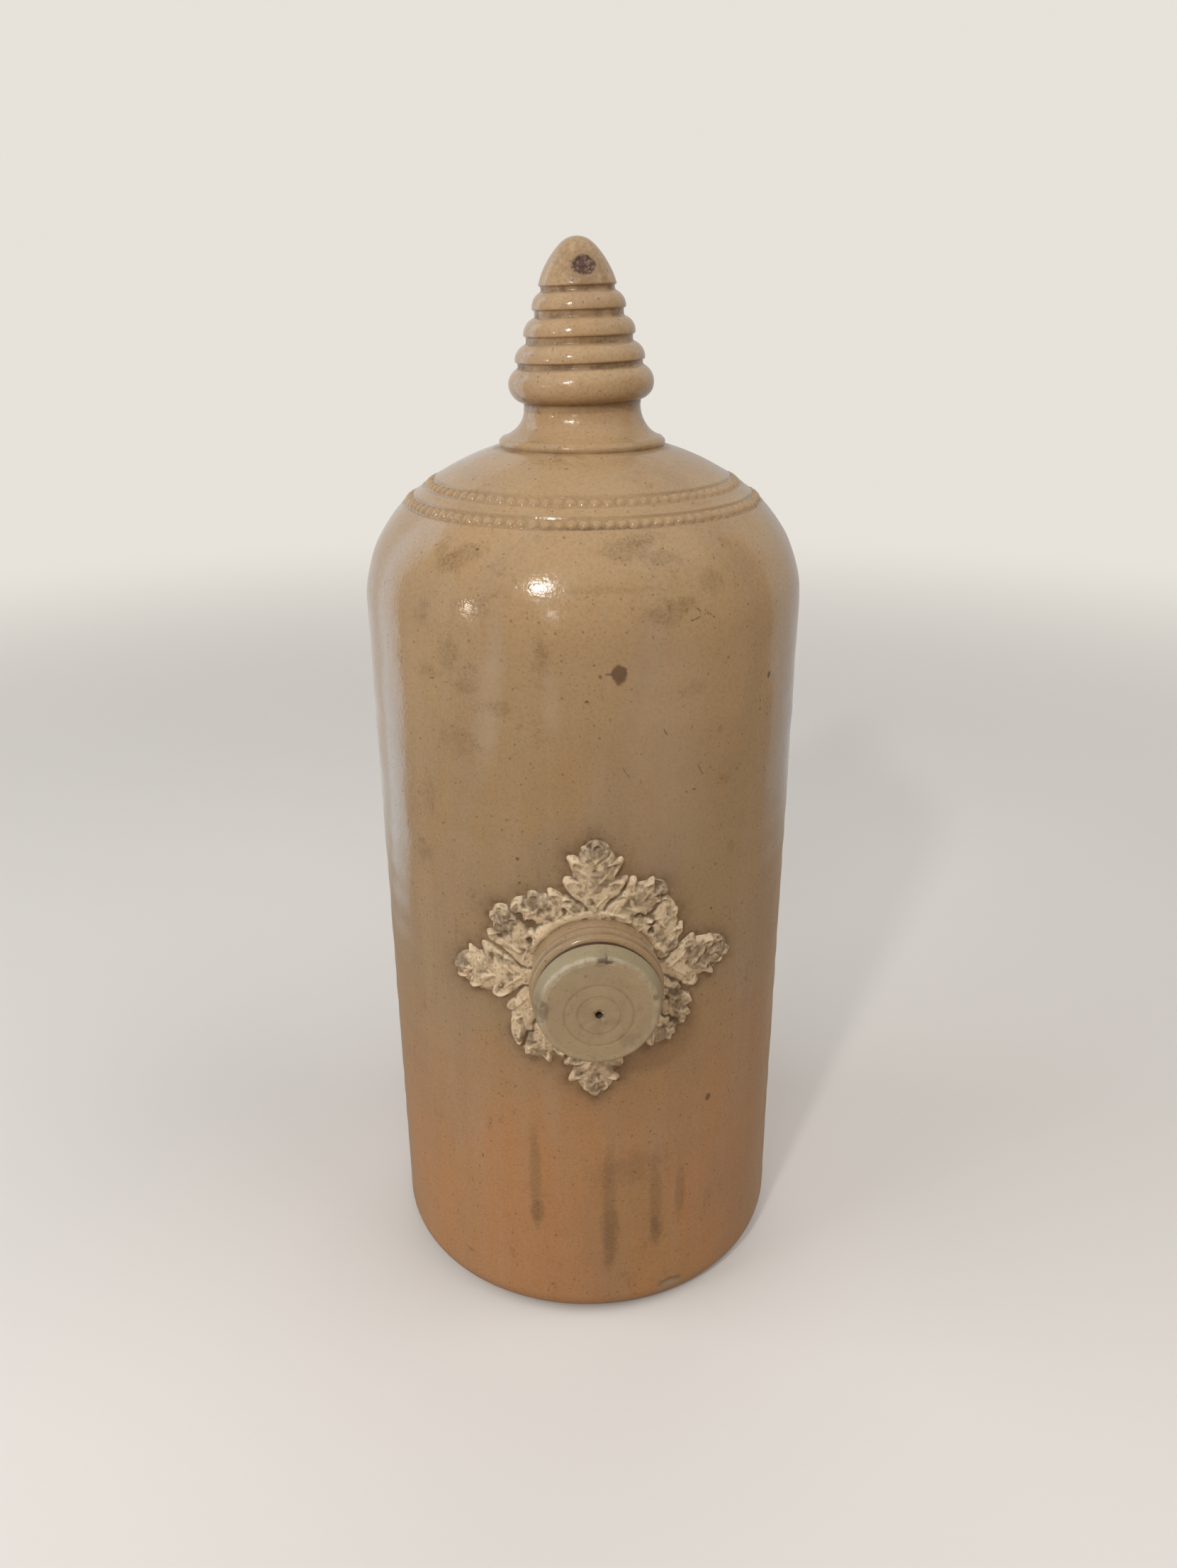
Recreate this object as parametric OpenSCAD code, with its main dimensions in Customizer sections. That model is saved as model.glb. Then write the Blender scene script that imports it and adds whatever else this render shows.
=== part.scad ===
// Stoneware hot water bottle: salt-glazed cylinder with a ringed finial,
// a screw stopper low on the front and a sprigged wreath of leaves round it.
// Millimetres, +Z up, the spout faces -Y, the origin is the middle of the base.

/* [Body] */
// Outside radius of the straight cylinder
body_radius = 73;
// Height at which the shoulder starts to turn in
shoulder_start = 250.6;
// Radius of the shoulder's turn
shoulder_radius = 44.6;
// Angle above horizontal at which the shoulder passes into the crown
crown_angle = 52;
// Radius of the flatter crown that runs up to the neck
crown_radius = 83.2;
// Rounding of the base edge
base_edge_radius = 10;
// Wall and floor thickness of the fired body
wall = 7.5;

/* [Beading] */
// Angle of the lower band on the shoulder's turn
lower_band_angle = 49.5;
// Angle of the upper band on the crown
upper_band_angle = 56.6;
// Width of the channel that each band lies in
channel_width = 4.6;
// Depth of the channel
channel_depth = 0.5;
// Rounding of the bead band that lies in the channel
band_radius = 1.65;
// How far the band stands out of the shoulder
band_stand = 0.7;

/* [Neck] */
// Radius of the stepped foot of the neck
foot_radius = 27;
// Height of the step above the crown
foot_step = 2.4;
// Radius of the neck at its waist
neck_radius = 18.8;
// Radius of the neck's hollow sweep
neck_sweep = 9.6;

/* [Finial] */
// Lean of the hand-set finial to its left
finial_lean = 1.7;
// Outside radius of the large round ring
knob_radius = 23.3;
// Rounding of the large ring
knob_round = 5.5;
// Height of the large ring's middle above the neck's waist
knob_height = 7.1;
// Number of smaller rings above it
ring_count = 3;
// Outside radius of the lowest small ring
ring_radius = 20.7;
// Height of the lowest small ring above the large ring's middle
ring_lift = 7.3;
// How much each ring is smaller than the one below
ring_step = 2.95;
// Height from one small ring to the next
ring_pitch = 7.6;
// Rounding of a small ring's upper side
ring_round = 5;
// How far a ring's sharp lower edge lies below its widest place
ring_edge = 0.65;
// Depth of the groove under each ring
groove_depth = 0.7;
// Height of the tip's lower edge above the top small ring
tip_lift = 6.2;
// Radius of the tip where it stands on the top groove
tip_base_radius = 12.4;
// Height of the tip
tip_height = 14;
// Radius of the tip's side curve
tip_curve = 26;
// Slope of the tip's side at its lower edge
tip_slope = 15.5;
// Radius of the hole thrown up the middle of the finial
finial_bore = 8;

/* [Spout] */
// Height of the spout's axis above the base
spout_height = 145.5;
// Outside radius of the collar
collar_radius = 20.3;
// How far the collar stands out from the body's front
collar_length = 13.3;
// Radius of the ridge round the collar
ridge_round = 1.3;
// Radius of the mouth
mouth_radius = 15;

/* [Stopper] */
// Radius of the flange at its back
flange_radius = 20;
// Radius of the flange's flat face
face_radius = 18.5;
// Thickness of the flange
flange_thickness = 6.4;
// Length of the shank below the flange
shank_length = 26;
// Radial clearance of the shank in the mouth
shank_clearance = 0.1;
// Radius of the small hole in the face
face_hole_radius = 1.1;
// Depth of the small hole
face_hole_depth = 6;
// How far the small hole lies below the middle
face_hole_drop = 1.5;
// Thickness of the rubber washer
washer_thickness = 2.5;
// Outside radius of the washer
washer_radius = 19.4;

/* [Leaves] */
// Height of the relief above the body
relief = 2.6;
// Height of a leaf's edge, as a share of the relief
edge_share = 0.55;
// How deep the leaves are pressed into the body
bedding = 0.8;
// Gap between the collar and the roots of the leaves
root_gap = 1.6;

/* [Hidden] */
$fn = 96;
eps = 0.01;

// The shoulder turns about one centre, and the crown's centre lies on the same
// line, so that the two curves meet without a corner.
shoulder_x = body_radius - shoulder_radius;
crown_x = shoulder_x - (crown_radius - shoulder_radius) * cos(crown_angle);
crown_z = shoulder_start - (crown_radius - shoulder_radius) * sin(crown_angle);
function crown_height(r) = crown_z + sqrt(pow(crown_radius, 2) - pow(r - crown_x, 2));

foot_top = crown_height(foot_radius) + foot_step;
neck_waist = foot_top + sqrt(pow(neck_sweep, 2) - pow(neck_radius + neck_sweep - foot_radius, 2));

collar_face = body_radius + collar_length;
flange_back = collar_face + washer_thickness;
shank_radius = mouth_radius - shank_clearance;

// Profiles, drawn in the half plane of a revolve

// Outline of the body from the base to the crown, inset by the wall for the water space.
module body_outline(inset = 0) {
    r = body_radius - inset;
    edge = max(base_edge_radius - inset, 1);
    translate([0, inset]) square([r - edge, edge * 2]);
    translate([0, inset + edge]) square([r, shoulder_start - inset - edge]);
    translate([r - edge, inset + edge]) circle(r = edge);
    translate([shoulder_x, shoulder_start]) circle(r = shoulder_radius - inset);
    intersection() {
        translate([crown_x, crown_z]) circle(r = crown_radius - inset);
        polygon([[crown_x, crown_z],
            [crown_x + crown_radius * cos(crown_angle), crown_z + crown_radius * sin(crown_angle)],
            [crown_x + crown_radius * cos(crown_angle), crown_z + crown_radius * 1.2],
            [-crown_radius, crown_z + crown_radius * 1.2], [-crown_radius, crown_z]]);
    }
}

// Shallow channel across a curve, at an angle round the curve's centre.
module channel(centre, radius, angle) {
    translate(centre) rotate(angle) translate([radius, 0])
        square([2 * channel_depth, channel_width], center = true);
}

// Half-round band of beads lying in its channel.
module band(centre, radius, angle) {
    translate(centre) rotate(angle) translate([radius + band_stand - band_radius, 0])
        circle(r = band_radius);
}

// Stepped foot and hollow-sided neck, which runs up into the large ring.
module neck_outline() {
    top = neck_waist + knob_height - knob_round + 0.8;
    difference() {
        translate([0, foot_top - 20]) square([foot_radius, top - foot_top + 20]);
        translate([neck_radius + neck_sweep, neck_waist]) circle(r = neck_sweep);
    }
}

module right_half() {
    intersection() {
        children();
        translate([0, -10]) square([200, 600]);
    }
}

// The finial's own heights start at the neck's waist.
first_ring = knob_height + ring_lift;
tip_base = first_ring + (ring_count - 1) * ring_pitch + tip_lift;

// One small ring: round above, with a sharp lower edge over a groove.
module ring_outline(i) {
    r = ring_radius - i * ring_step;
    z = first_ring + i * ring_pitch;
    intersection() {
        translate([r - ring_round, z]) circle(r = ring_round);
        translate([0, z - ring_edge]) square([r + 1, ring_pitch]);
    }
    // The core below the ring, which shows as the groove
    translate([0, z - ring_pitch]) square([r - groove_depth, ring_pitch]);
}

// Bullet-shaped tip: a side curve and a round end that meet without a corner.
tip_centre = [tip_base_radius - tip_curve * cos(tip_slope), -tip_curve * sin(tip_slope)];
tip_reach = tip_height - tip_centre[1];
tip_round = (pow(tip_curve, 2) - pow(tip_centre[0], 2) - pow(tip_reach, 2)) / (2 * (tip_curve - tip_reach));
module tip_outline() {
    a = atan2(tip_reach - tip_round, -tip_centre[0]);
    intersection() {
        translate(tip_centre) circle(r = tip_curve);
        square([tip_base_radius + 1, tip_centre[1] + tip_curve * sin(a)]);
    }
    intersection() {
        translate([0, tip_height - tip_round]) circle(r = tip_round);
        square([tip_base_radius, tip_height + 1]);
    }
}

module finial_outline() {
    translate([0, -2]) square([neck_radius - 1, knob_height + 2]);
    translate([0, knob_height - knob_round]) square([knob_radius - knob_round, 2 * knob_round]);
    translate([knob_radius - knob_round, knob_height]) circle(r = knob_round);
    for (i = [0 : ring_count - 1]) ring_outline(i);
    // The core below the tip
    translate([0, tip_base - tip_lift]) square([tip_base_radius - groove_depth, tip_lift + eps]);
    translate([0, tip_base]) tip_outline();
}

module along_spout() {
    translate([0, 0, spout_height]) rotate([90, 0, 0]) children();
}

// Collar with one ridge and a rounded lip, from inside the wall to its face.
module collar_outline() {
    square([collar_radius, collar_face - 1.5]);
    square([collar_radius - 1.5, collar_face]);
    translate([collar_radius - 1.5, collar_face - 1.5]) circle(r = 1.5);
    translate([collar_radius - ridge_round + 0.5, collar_face - 5]) circle(r = ridge_round);
}

module bottle() {
    color([0.72, 0.58, 0.42])
    difference() {
        union() {
            rotate_extrude() right_half() union() {
                difference() {
                    union() {
                        body_outline();
                        neck_outline();
                    }
                    channel([shoulder_x, shoulder_start], shoulder_radius, lower_band_angle);
                    channel([crown_x, crown_z], crown_radius, upper_band_angle);
                }
                band([shoulder_x, shoulder_start], shoulder_radius, lower_band_angle);
                band([crown_x, crown_z], crown_radius, upper_band_angle);
            }
            translate([0, 0, neck_waist]) rotate([0, -finial_lean, 0])
                rotate_extrude() right_half() finial_outline();
            along_spout() intersection() {
                rotate_extrude() collar_outline();
                translate([0, 0, body_radius - wall]) cylinder(r = collar_radius + 5, h = collar_length + wall + 1);
            }
        }
        rotate_extrude() right_half() body_outline(wall);
        // The water space ends in a short hole up the neck
        translate([0, 0, crown_z + crown_radius - wall - 5]) cylinder(r = finial_bore, h = neck_waist + knob_height - (crown_z + crown_radius - wall - 5));
        translate([0, 0, neck_waist + knob_height]) sphere(r = finial_bore);
        along_spout() translate([0, 0, body_radius / 2]) cylinder(r = mouth_radius, h = body_radius);
    }
}

module stopper() {
    color([0.70, 0.68, 0.58])
    along_spout() difference() {
        rotate_extrude() polygon([
            [0, flange_back - shank_length],
            [shank_radius - 1.5, flange_back - shank_length],
            [shank_radius, flange_back - shank_length + 1.5],
            [shank_radius, flange_back],
            [flange_radius, flange_back],
            [flange_radius, flange_back + 1],
            [face_radius + 0.3, flange_back + flange_thickness - 0.5],
            [face_radius - 0.4, flange_back + flange_thickness],
            [0, flange_back + flange_thickness]]);
        translate([0, -face_hole_drop, flange_back + flange_thickness - face_hole_depth])
            cylinder(r = face_hole_radius, h = face_hole_depth + 1);
    }
}

module stopper_washer() {
    color([0.35, 0.25, 0.2])
    along_spout() translate([0, 0, collar_face]) difference() {
        cylinder(r = washer_radius, h = washer_thickness);
        translate([0, 0, -1]) cylinder(r = mouth_radius, h = washer_thickness + 2);
    }
}

// Leaves. A leaf is a grid of points: rows run along the midrib, columns lean out
// along the side veins, and the last column on each side is the lobed edge.

// The lobed edge: shares of the leaf's length, and of its half width there.
lobes = [[0, 0.46], [0.10, 0.60], [0.33, 1], [0.44, 0.70], [0.60, 0.88], [0.70, 0.54],
    [0.82, 0.56], [0.91, 0.30], [1, 0.10]];

// The twelve leaves as they were laid by hand, flat round the spout's axis: x across
// and y up at the root, at the tip, and the half width.
laid = [
    [[0, 1], [0.4, 46.5], 9.6], [[-1, -0.1], [-48.8, -2.2], 9.2],
    [[0, -1], [0.3, -46.5], 8.8], [[1, 0], [47.6, 0.2], 9.4],
    [[-0.31, 0.95], [-27.4, 24.2], 5.6], [[-0.98, 0.26], [-32.6, 21.2], 6],
    [[0.33, 0.94], [24.4, 30], 5.9], [[0.96, 0.28], [25.6, 25.4], 5],
    [[-0.95, -0.33], [-26.4, -28.6], 5.2], [[-0.42, -0.9], [-20.6, -33.2], 5],
    [[0.93, -0.34], [31.4, -22.4], 5.6], [[0.46, -0.89], [26.4, -28.6], 5.2]
];

leaf_rows = 18;
leaf_columns = 3;

// Smooth curve through a table of [share, value] pairs.
function through(t, u, i = 0) = u > t[i + 1][0] && i < len(t) - 2 ? through(t, u, i + 1)
    : let (k = (u - t[i][0]) / (t[i + 1][0] - t[i][0])) t[i][1] + (t[i + 1][1] - t[i][1]) * (3 - 2 * k) * k * k;

// Share of the relief at u along the leaf and v across it: a midrib, a hollow each
// side of it, and lobes that swell towards the edge.
function swell(u, v) = let (full = through(lobes, u))
    0.55 + 0.25 * full * sin(180 * min(abs(v) * 1.15, 1)) + 0.45 * exp(-pow(v / 0.16, 2)) * (1 - 0.5 * u);

// Place a point of the flat layout at a height above the body.
function wrap(p, h) = let (a = p[0] / body_radius * 180 / PI)
    [(body_radius + h) * sin(a), -(body_radius + h) * cos(a), spout_height + p[1]];

module leaf(root, tip, half_width) {
    n = leaf_rows;
    m = leaf_columns;
    c = 2 * m + 1;
    along = tip - root;
    across = [along[1], -along[0]] / norm(along);
    flat = [for (i = [0 : n]) for (j = [-m : m]) let (u = i / n, x = j / m * half_width * through(lobes, u))
        root + along * (u + 0.32 * abs(x) * (1 - u) / norm(along)) + across * x];
    top = [for (i = [0 : n]) for (j = [-m : m])
        wrap(flat[i * c + j + m], relief * (abs(j) == m || i == 0 || i == n ? edge_share : swell(i / n, j / m)))];
    bed = [for (p = flat) wrap(p, -bedding)];
    k = len(flat);
    rim = concat([for (j = [0 : c - 1]) j], [for (i = [1 : n - 1]) i * c + c - 1],
        [for (j = [c - 1 : -1 : 0]) n * c + j], [for (i = [n - 1 : -1 : 1]) i * c]);
    polyhedron(points = concat(top, bed), faces = concat(
        [for (i = [0 : n - 1]) for (j = [0 : c - 2]) let (a = i * c + j) each
            [[a, a + c, a + 1], [a + 1, a + c, a + c + 1],
            [k + a, k + a + 1, k + a + c], [k + a + 1, k + a + c + 1, k + a + c]]],
        [for (q = [0 : len(rim) - 1]) let (a = rim[q], b = rim[(q + 1) % len(rim)]) each
            [[a, b, k + b], [a, k + b, k + a]]]));
}

module leaf_wreath() {
    color([0.86, 0.80, 0.68])
    for (l = laid) leaf(l[0] / norm(l[0]) * (collar_radius + root_gap), l[1], l[2]);
}

bottle();
leaf_wreath();
stopper();
stopper_washer();
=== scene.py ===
"""Stoneware hot water bottle with a ringed finial, a screw stopper and a wreath of leaves.

Laid out as an add-on and run as a script. Metres, +Z up, the spout faces -Y.
"""

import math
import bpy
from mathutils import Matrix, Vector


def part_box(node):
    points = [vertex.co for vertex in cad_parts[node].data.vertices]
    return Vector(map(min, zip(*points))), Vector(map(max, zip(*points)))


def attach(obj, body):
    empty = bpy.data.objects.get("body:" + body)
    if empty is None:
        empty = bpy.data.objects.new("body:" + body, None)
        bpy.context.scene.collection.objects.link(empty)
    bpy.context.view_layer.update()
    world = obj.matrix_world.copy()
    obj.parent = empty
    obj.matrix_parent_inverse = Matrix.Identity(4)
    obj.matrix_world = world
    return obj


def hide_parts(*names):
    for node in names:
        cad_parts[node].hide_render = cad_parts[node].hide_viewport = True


bl_info = {
    "name": "Stoneware Hot Water Bottle",
    "version": (1, 0, 0),
    "blender": (4, 5, 0),
    "location": "3D View > Sidebar > Bottle",
    "description": "Salt-glazed stoneware bottle with beading, finial, screw stopper and leaf wreath",
    "category": "Add Mesh",
}

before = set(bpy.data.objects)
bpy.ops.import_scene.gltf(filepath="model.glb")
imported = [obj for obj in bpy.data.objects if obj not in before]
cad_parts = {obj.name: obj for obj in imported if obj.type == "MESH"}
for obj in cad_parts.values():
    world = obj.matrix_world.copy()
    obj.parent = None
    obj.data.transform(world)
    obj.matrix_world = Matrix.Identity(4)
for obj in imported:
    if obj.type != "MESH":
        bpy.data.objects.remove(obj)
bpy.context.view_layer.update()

import bpy
import numpy as np
from bpy.props import FloatProperty, FloatVectorProperty, IntProperty, PointerProperty
from mathutils import Matrix

MM = 0.001
BOTTLE_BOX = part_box("bottle")


# Sizes and finishes that a user would change


def length(name, description, default):
    return FloatProperty(name=name, description=description, default=default, unit="LENGTH", precision=4)


def angle(name, description, degrees):
    return FloatProperty(name=name, description=description, default=math.radians(degrees), unit="ROTATION")


def colour(name, description, default):
    return FloatVectorProperty(
        name=name, description=description, default=default, size=3, subtype="COLOR", min=0, max=1
    )


class BodySizes(bpy.types.PropertyGroup):
    radius: length("Radius", "Outside radius of the cylinder", BOTTLE_BOX[1].y)
    shoulder_start: length("Shoulder start", "Height at which the shoulder turns in", 0.2506)
    shoulder_radius: length("Shoulder radius", "Radius of the shoulder's turn", 0.0446)
    crown_angle: angle("Crown angle", "Where the shoulder passes into the crown", 52)
    crown_radius: length("Crown radius", "Radius of the flatter crown", 0.0832)
    base_edge: length("Base edge", "Rounding of the base edge", 0.010)
    wall: length("Wall", "Thickness of wall and floor", 0.0075)
    waver: length("Waver", "Unevenness left by throwing and firing", 0.0003)


class BeadingSizes(bpy.types.PropertyGroup):
    lower_angle: angle("Lower band", "Angle of the lower band round the shoulder's centre", 49.5)
    upper_angle: angle("Upper band", "Angle of the upper band round the crown's centre", 56.6)
    channel_width: length("Channel width", "Width of the channel that each band lies in", 0.0044)
    channel_depth: length("Channel depth", "Depth of the channel", 0.0005)
    bead_radius: length("Bead radius", "Radius of one bead", 0.00162)
    bead_height: length("Bead height", "Height of a bead above the channel's floor", 0.00100)
    bead_pitch: length("Bead pitch", "Distance from one bead to the next", 0.0037)


class FinialSizes(bpy.types.PropertyGroup):
    foot_radius: length("Foot radius", "Radius of the stepped foot", 0.027)
    foot_step: length("Foot step", "Height of the step above the crown", 0.0024)
    neck_radius: length("Neck radius", "Radius of the neck at its waist", 0.0188)
    neck_sweep: length("Neck sweep", "Radius of the neck's hollow side", 0.0096)
    lean: angle("Lean", "Lean of the hand-set finial", 1.7)
    knob_radius: length("Knob radius", "Outside radius of the large ring", 0.0233)
    knob_round: length("Knob round", "Rounding of the large ring", 0.0055)
    knob_height: length("Knob height", "Height of the large ring's middle above the waist", 0.0071)
    ring_count: IntProperty(name="Rings", description="Number of small rings", default=3, min=1, max=5)
    ring_radius: length("Ring radius", "Radius of the lowest small ring", 0.0207)
    ring_lift: length("Ring lift", "Height of the lowest small ring above the large ring's middle", 0.0073)
    ring_step: length("Ring step", "How much each ring is smaller than the one below", 0.00295)
    ring_pitch: length("Ring pitch", "Height from one ring to the next", 0.0076)
    ring_round: length("Ring round", "Rounding of a ring's upper side", 0.005)
    ring_edge: length("Ring edge", "How far a ring's lower edge lies below its widest place", 0.00065)
    groove: length("Groove", "Depth of the groove under each ring", 0.0008)
    tip_radius: length("Tip radius", "Radius of the tip where it starts", 0.0124)
    tip_lift: length("Tip lift", "Height of the tip's lower edge above the top ring", 0.0062)
    tip_height: length("Tip height", "Height of the tip", 0.014)
    tip_curve: length("Tip curve", "Radius of the tip's side", 0.026)
    tip_slope: angle("Tip slope", "Slope of the tip's side at its lower edge", 15.5)
    chip_depth: length("Chip depth", "Depth of the knock on the tip", 0.0008)


class SpoutSizes(bpy.types.PropertyGroup):
    height: length("Height", "Height of the spout's axis", 0.1455)
    collar_radius: length("Collar radius", "Outside radius of the collar", 0.0203)
    collar_length: length("Collar length", "How far the collar stands out", 0.0133)
    mouth_radius: length("Mouth radius", "Radius of the mouth", 0.015)
    thread_pitch: length("Thread pitch", "How far the stopper moves in one turn", 0.008)
    thread_depth: length("Thread depth", "Depth of the rounded thread", 0.0012)


class StopperSizes(bpy.types.PropertyGroup):
    flange_radius: length("Flange radius", "Radius of the flange at its back", 0.020)
    face_radius: length("Face radius", "Radius of the flat face", 0.0185)
    thickness: length("Thickness", "Thickness of the flange", 0.0064)
    shank_length: length("Shank length", "Length of the threaded shank", 0.026)
    clearance: length("Clearance", "Radial clearance of the shank in the mouth", 0.0001)
    hole_radius: length("Hole radius", "Radius of the small hole in the face", 0.0011)
    hole_drop: length("Hole drop", "How far the hole lies below the middle", 0.0015)
    washer: length("Washer thickness", "Thickness of the rubber washer", 0.0025)
    washer_radius: length("Washer radius", "Outside radius of the washer", 0.0194)


class WreathSizes(bpy.types.PropertyGroup):
    relief: length("Relief", "Height of a plain lobe above the body", 0.0016)
    curl: length("Curl", "How far the lobes' edges curl up", 0.0010)
    cup: length("Cup", "How far a lobe is hollowed inside its edge", 0.0007)
    rib: length("Rib", "Height of the vein in each lobe", 0.0003)
    crinkle: length("Crinkle", "Height of the crinkles in the clay", 0.00042)
    grain: length("Grain", "Spacing of the mesh over the leaves", 0.00028)


class Finishes(bpy.types.PropertyGroup):
    glaze_pale: colour("Pale glaze", "Glaze on shoulder and finial", (0.475, 0.318, 0.168))
    glaze_mid: colour("Middle glaze", "Glaze on the upper wall", (0.364, 0.255, 0.139))
    glaze_warm: colour("Warm glaze", "Glaze low on the wall", (0.480, 0.247, 0.108))
    stain: colour("Stain", "Brown stains and iron spots", (0.10, 0.055, 0.03))
    # Also paints the shadow under the finial's foot and the shade between the beads and round the leaves
    dirt_and_shade: colour("Dirt", "Dirt in grooves and round the leaves", (0.145, 0.085, 0.043))
    white_clay: colour("White clay", "Clean white clay of the leaves", (0.750, 0.590, 0.388))
    stopper_face: colour("Stopper face", "Worn face of the stopper", (0.416, 0.316, 0.193))
    stopper_side: colour("Stopper side", "Cleaner side of the stopper", (0.342, 0.278, 0.165))
    rubber: colour("Rubber", "Old red-brown rubber", (0.07, 0.035, 0.022))
    bare_clay: colour("Bare clay", "Unglazed clay of the base", (0.36, 0.25, 0.16))
    floor: colour("Floor", "Pale floor and backdrop", (0.80, 0.775, 0.74))


SETTINGS = {
    "bottle_body": BodySizes, "bottle_beading": BeadingSizes, "bottle_finial": FinialSizes,
    "bottle_spout": SpoutSizes, "bottle_stopper": StopperSizes, "bottle_wreath": WreathSizes,
    "bottle_finishes": Finishes,
}


# Curves and surfaces, worked out as whole arrays


def smooth(x, low, high):
    """Runs from 0 at low to 1 at high along 3 t squared - 2 t cubed."""
    t = np.clip((x - low) / (high - low), 0, 1)
    return t * t * (3 - 2 * t)


def hump(x, centre, width):
    """Bell curve: e to the minus square of the distance from the centre in widths."""
    return np.exp(-((x - centre) / width) ** 2)


def arc(centre, radius, start, end, count=60):
    """Points at equal angles on a circle, angles in radians above the first axis."""
    a = np.linspace(start, end, count)
    return np.stack([centre[0] + radius * np.cos(a), centre[1] + radius * np.sin(a)], 1)


def spaced(points, spacing):
    """Points along a line of points, with the gaps that spacing(distance along, points) asks for:
    the count of gaps passed is the running sum of 1 / spacing."""
    step = np.linalg.norm(np.diff(points, axis=0), axis=1)
    points = points[np.r_[True, step > 1e-9]]
    along = np.r_[0, np.cumsum(np.linalg.norm(np.diff(points, axis=0), axis=1))]
    s = np.linspace(0, along[-1], 6000)
    fine = np.stack([np.interp(s, along, points[:, k]) for k in range(points.shape[1])], 1)
    passed = np.r_[0, np.cumsum(np.diff(s) / spacing(s[1:], fine[1:]))]
    at = np.interp(np.linspace(0, passed[-1], int(passed[-1]) + 2), passed, s)
    return np.stack([np.interp(at, s, fine[:, k]) for k in range(points.shape[1])], 1)


def softened(points, width):
    """The line with its corners rounded: each point becomes the bell-weighted mean of its
    neighbours at even distances, and the two ends stay."""
    fine = spaced(points, lambda s, p: np.full(len(s), width / 5))
    offsets = np.arange(-15, 16)
    weight = hump(offsets, 0, 7)
    padded = np.concatenate([2 * fine[:1] - fine[15:0:-1], fine, 2 * fine[-1:] - fine[-2:-17:-1]])
    out = sum(w * padded[15 + k:len(padded) - 15 + k] for k, w in zip(offsets, weight)) / weight.sum()
    out[0], out[-1] = fine[0], fine[-1]
    return out


def normals(points):
    """Unit normals of a line of (radius, height) points, to the right of its run."""
    d = np.gradient(points, axis=0)
    d /= np.maximum(np.linalg.norm(d, axis=1, keepdims=True), 1e-12)
    return np.stack([d[:, 1], -d[:, 0]], 1)


def lumps(x, y, size, seed):
    """Smooth lumps from -1 to 1: seeded heights on a square lattice, blended along 3 t squared
    - 2 t cubed between the four nearest."""
    table = np.random.default_rng(seed).random((61, 67)) * 2 - 1
    gx, gy = x / size + 500.0, y / size + 500.0
    ix, iy = np.floor(gx).astype(int), np.floor(gy).astype(int)
    fx, fy = smooth(gx - ix, 0, 1), smooth(gy - iy, 0, 1)
    pick = lambda a, b: table[(ix + a) % 61, (iy + b) % 67]
    return (
        (pick(0, 0) * (1 - fx) + pick(1, 0) * fx) * (1 - fy) + (pick(0, 1) * (1 - fx) + pick(1, 1) * fx) * fy
    )


def neighbour_mean(values, reach):
    """Mean of a grid's values within reach steps along both axes, taken twice over."""
    for axis in (0, 1, 0, 1):
        wide = np.pad(values, [(reach, reach) if k == axis else (0, 0) for k in (0, 1)], mode="edge")
        run = np.cumsum(wide, axis=axis)
        run = np.concatenate([np.zeros_like(np.take(run, [0], axis)), run], axis)
        n, count = 2 * reach + 1, values.shape[axis]
        values = (np.take(run, range(n, n + count), axis) - np.take(run, range(0, count), axis)) / n
    return values


def low_places(height, reach):
    """How far each point of a height grid lies below the mean of its neighbourhood."""
    return neighbour_mean(height, reach) - height


def woven(rows, columns, wrap_rows=False, wrap_columns=True):
    """Corner numbers of the quads of a grid: along a row first, then up a column."""
    i = np.arange(rows if wrap_rows else rows - 1)[:, None]
    j = np.arange(columns if wrap_columns else columns - 1)[None, :]
    i2, j2 = (i + 1) % rows, (j + 1) % columns
    quads = [i * columns + j, i * columns + j2, i2 * columns + j2, i2 * columns + j]
    return np.stack([q + 0 * i + 0 * j for q in quads], -1).reshape(-1, 4)


def joined_behind(blocks, count):
    """Faces that join the open edges of a sheet to a second sheet behind it, whose corners
    follow by count. An edge is open where no face runs along it the other way."""
    edges = np.concatenate([np.stack([b, np.roll(b, -1, axis=1)], -1).reshape(-1, 2) for b in blocks])
    a, b = edges[~np.isin(edges[:, 0] * count + edges[:, 1], edges[:, 1] * count + edges[:, 0])].T
    return np.stack([b, a, a + count, b + count], 1)


def capped(grid, layers):
    """Vertices and faces of a grid whose first and last rows are single points. The rows
    between are woven, and each pole closes with a fan."""
    rows, columns = grid.shape[:2]
    body = grid[1:-1].reshape(-1, 3)
    points = np.concatenate([body, grid[0, :1], grid[-1, :1]])
    values = {k: np.concatenate([v[1:-1].ravel(), v[0, :1], v[-1, :1]]) for k, v in layers.items()}
    j = np.arange(columns)
    j2 = (j + 1) % columns
    last = (rows - 3) * columns
    low = np.stack([np.full(columns, len(body)), j2, j], 1)
    high = np.stack([np.full(columns, len(body) + 1), last + j, last + j2], 1)
    return points, woven(rows - 2, columns), np.concatenate([low, high]), values


def upright(radius, turn, height):
    """A point at a radius and a height, turned from the front towards +X."""
    return np.stack([radius * np.sin(turn), -radius * np.cos(turn), height + 0 * turn], -1)


def along_spout(radius, turn, out, axis_height):
    """A point round the spout's axis: turned from +X upwards, and out towards the front."""
    return np.stack([radius * np.cos(turn), -out + 0 * turn, axis_height + radius * np.sin(turn)], -1)


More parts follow.
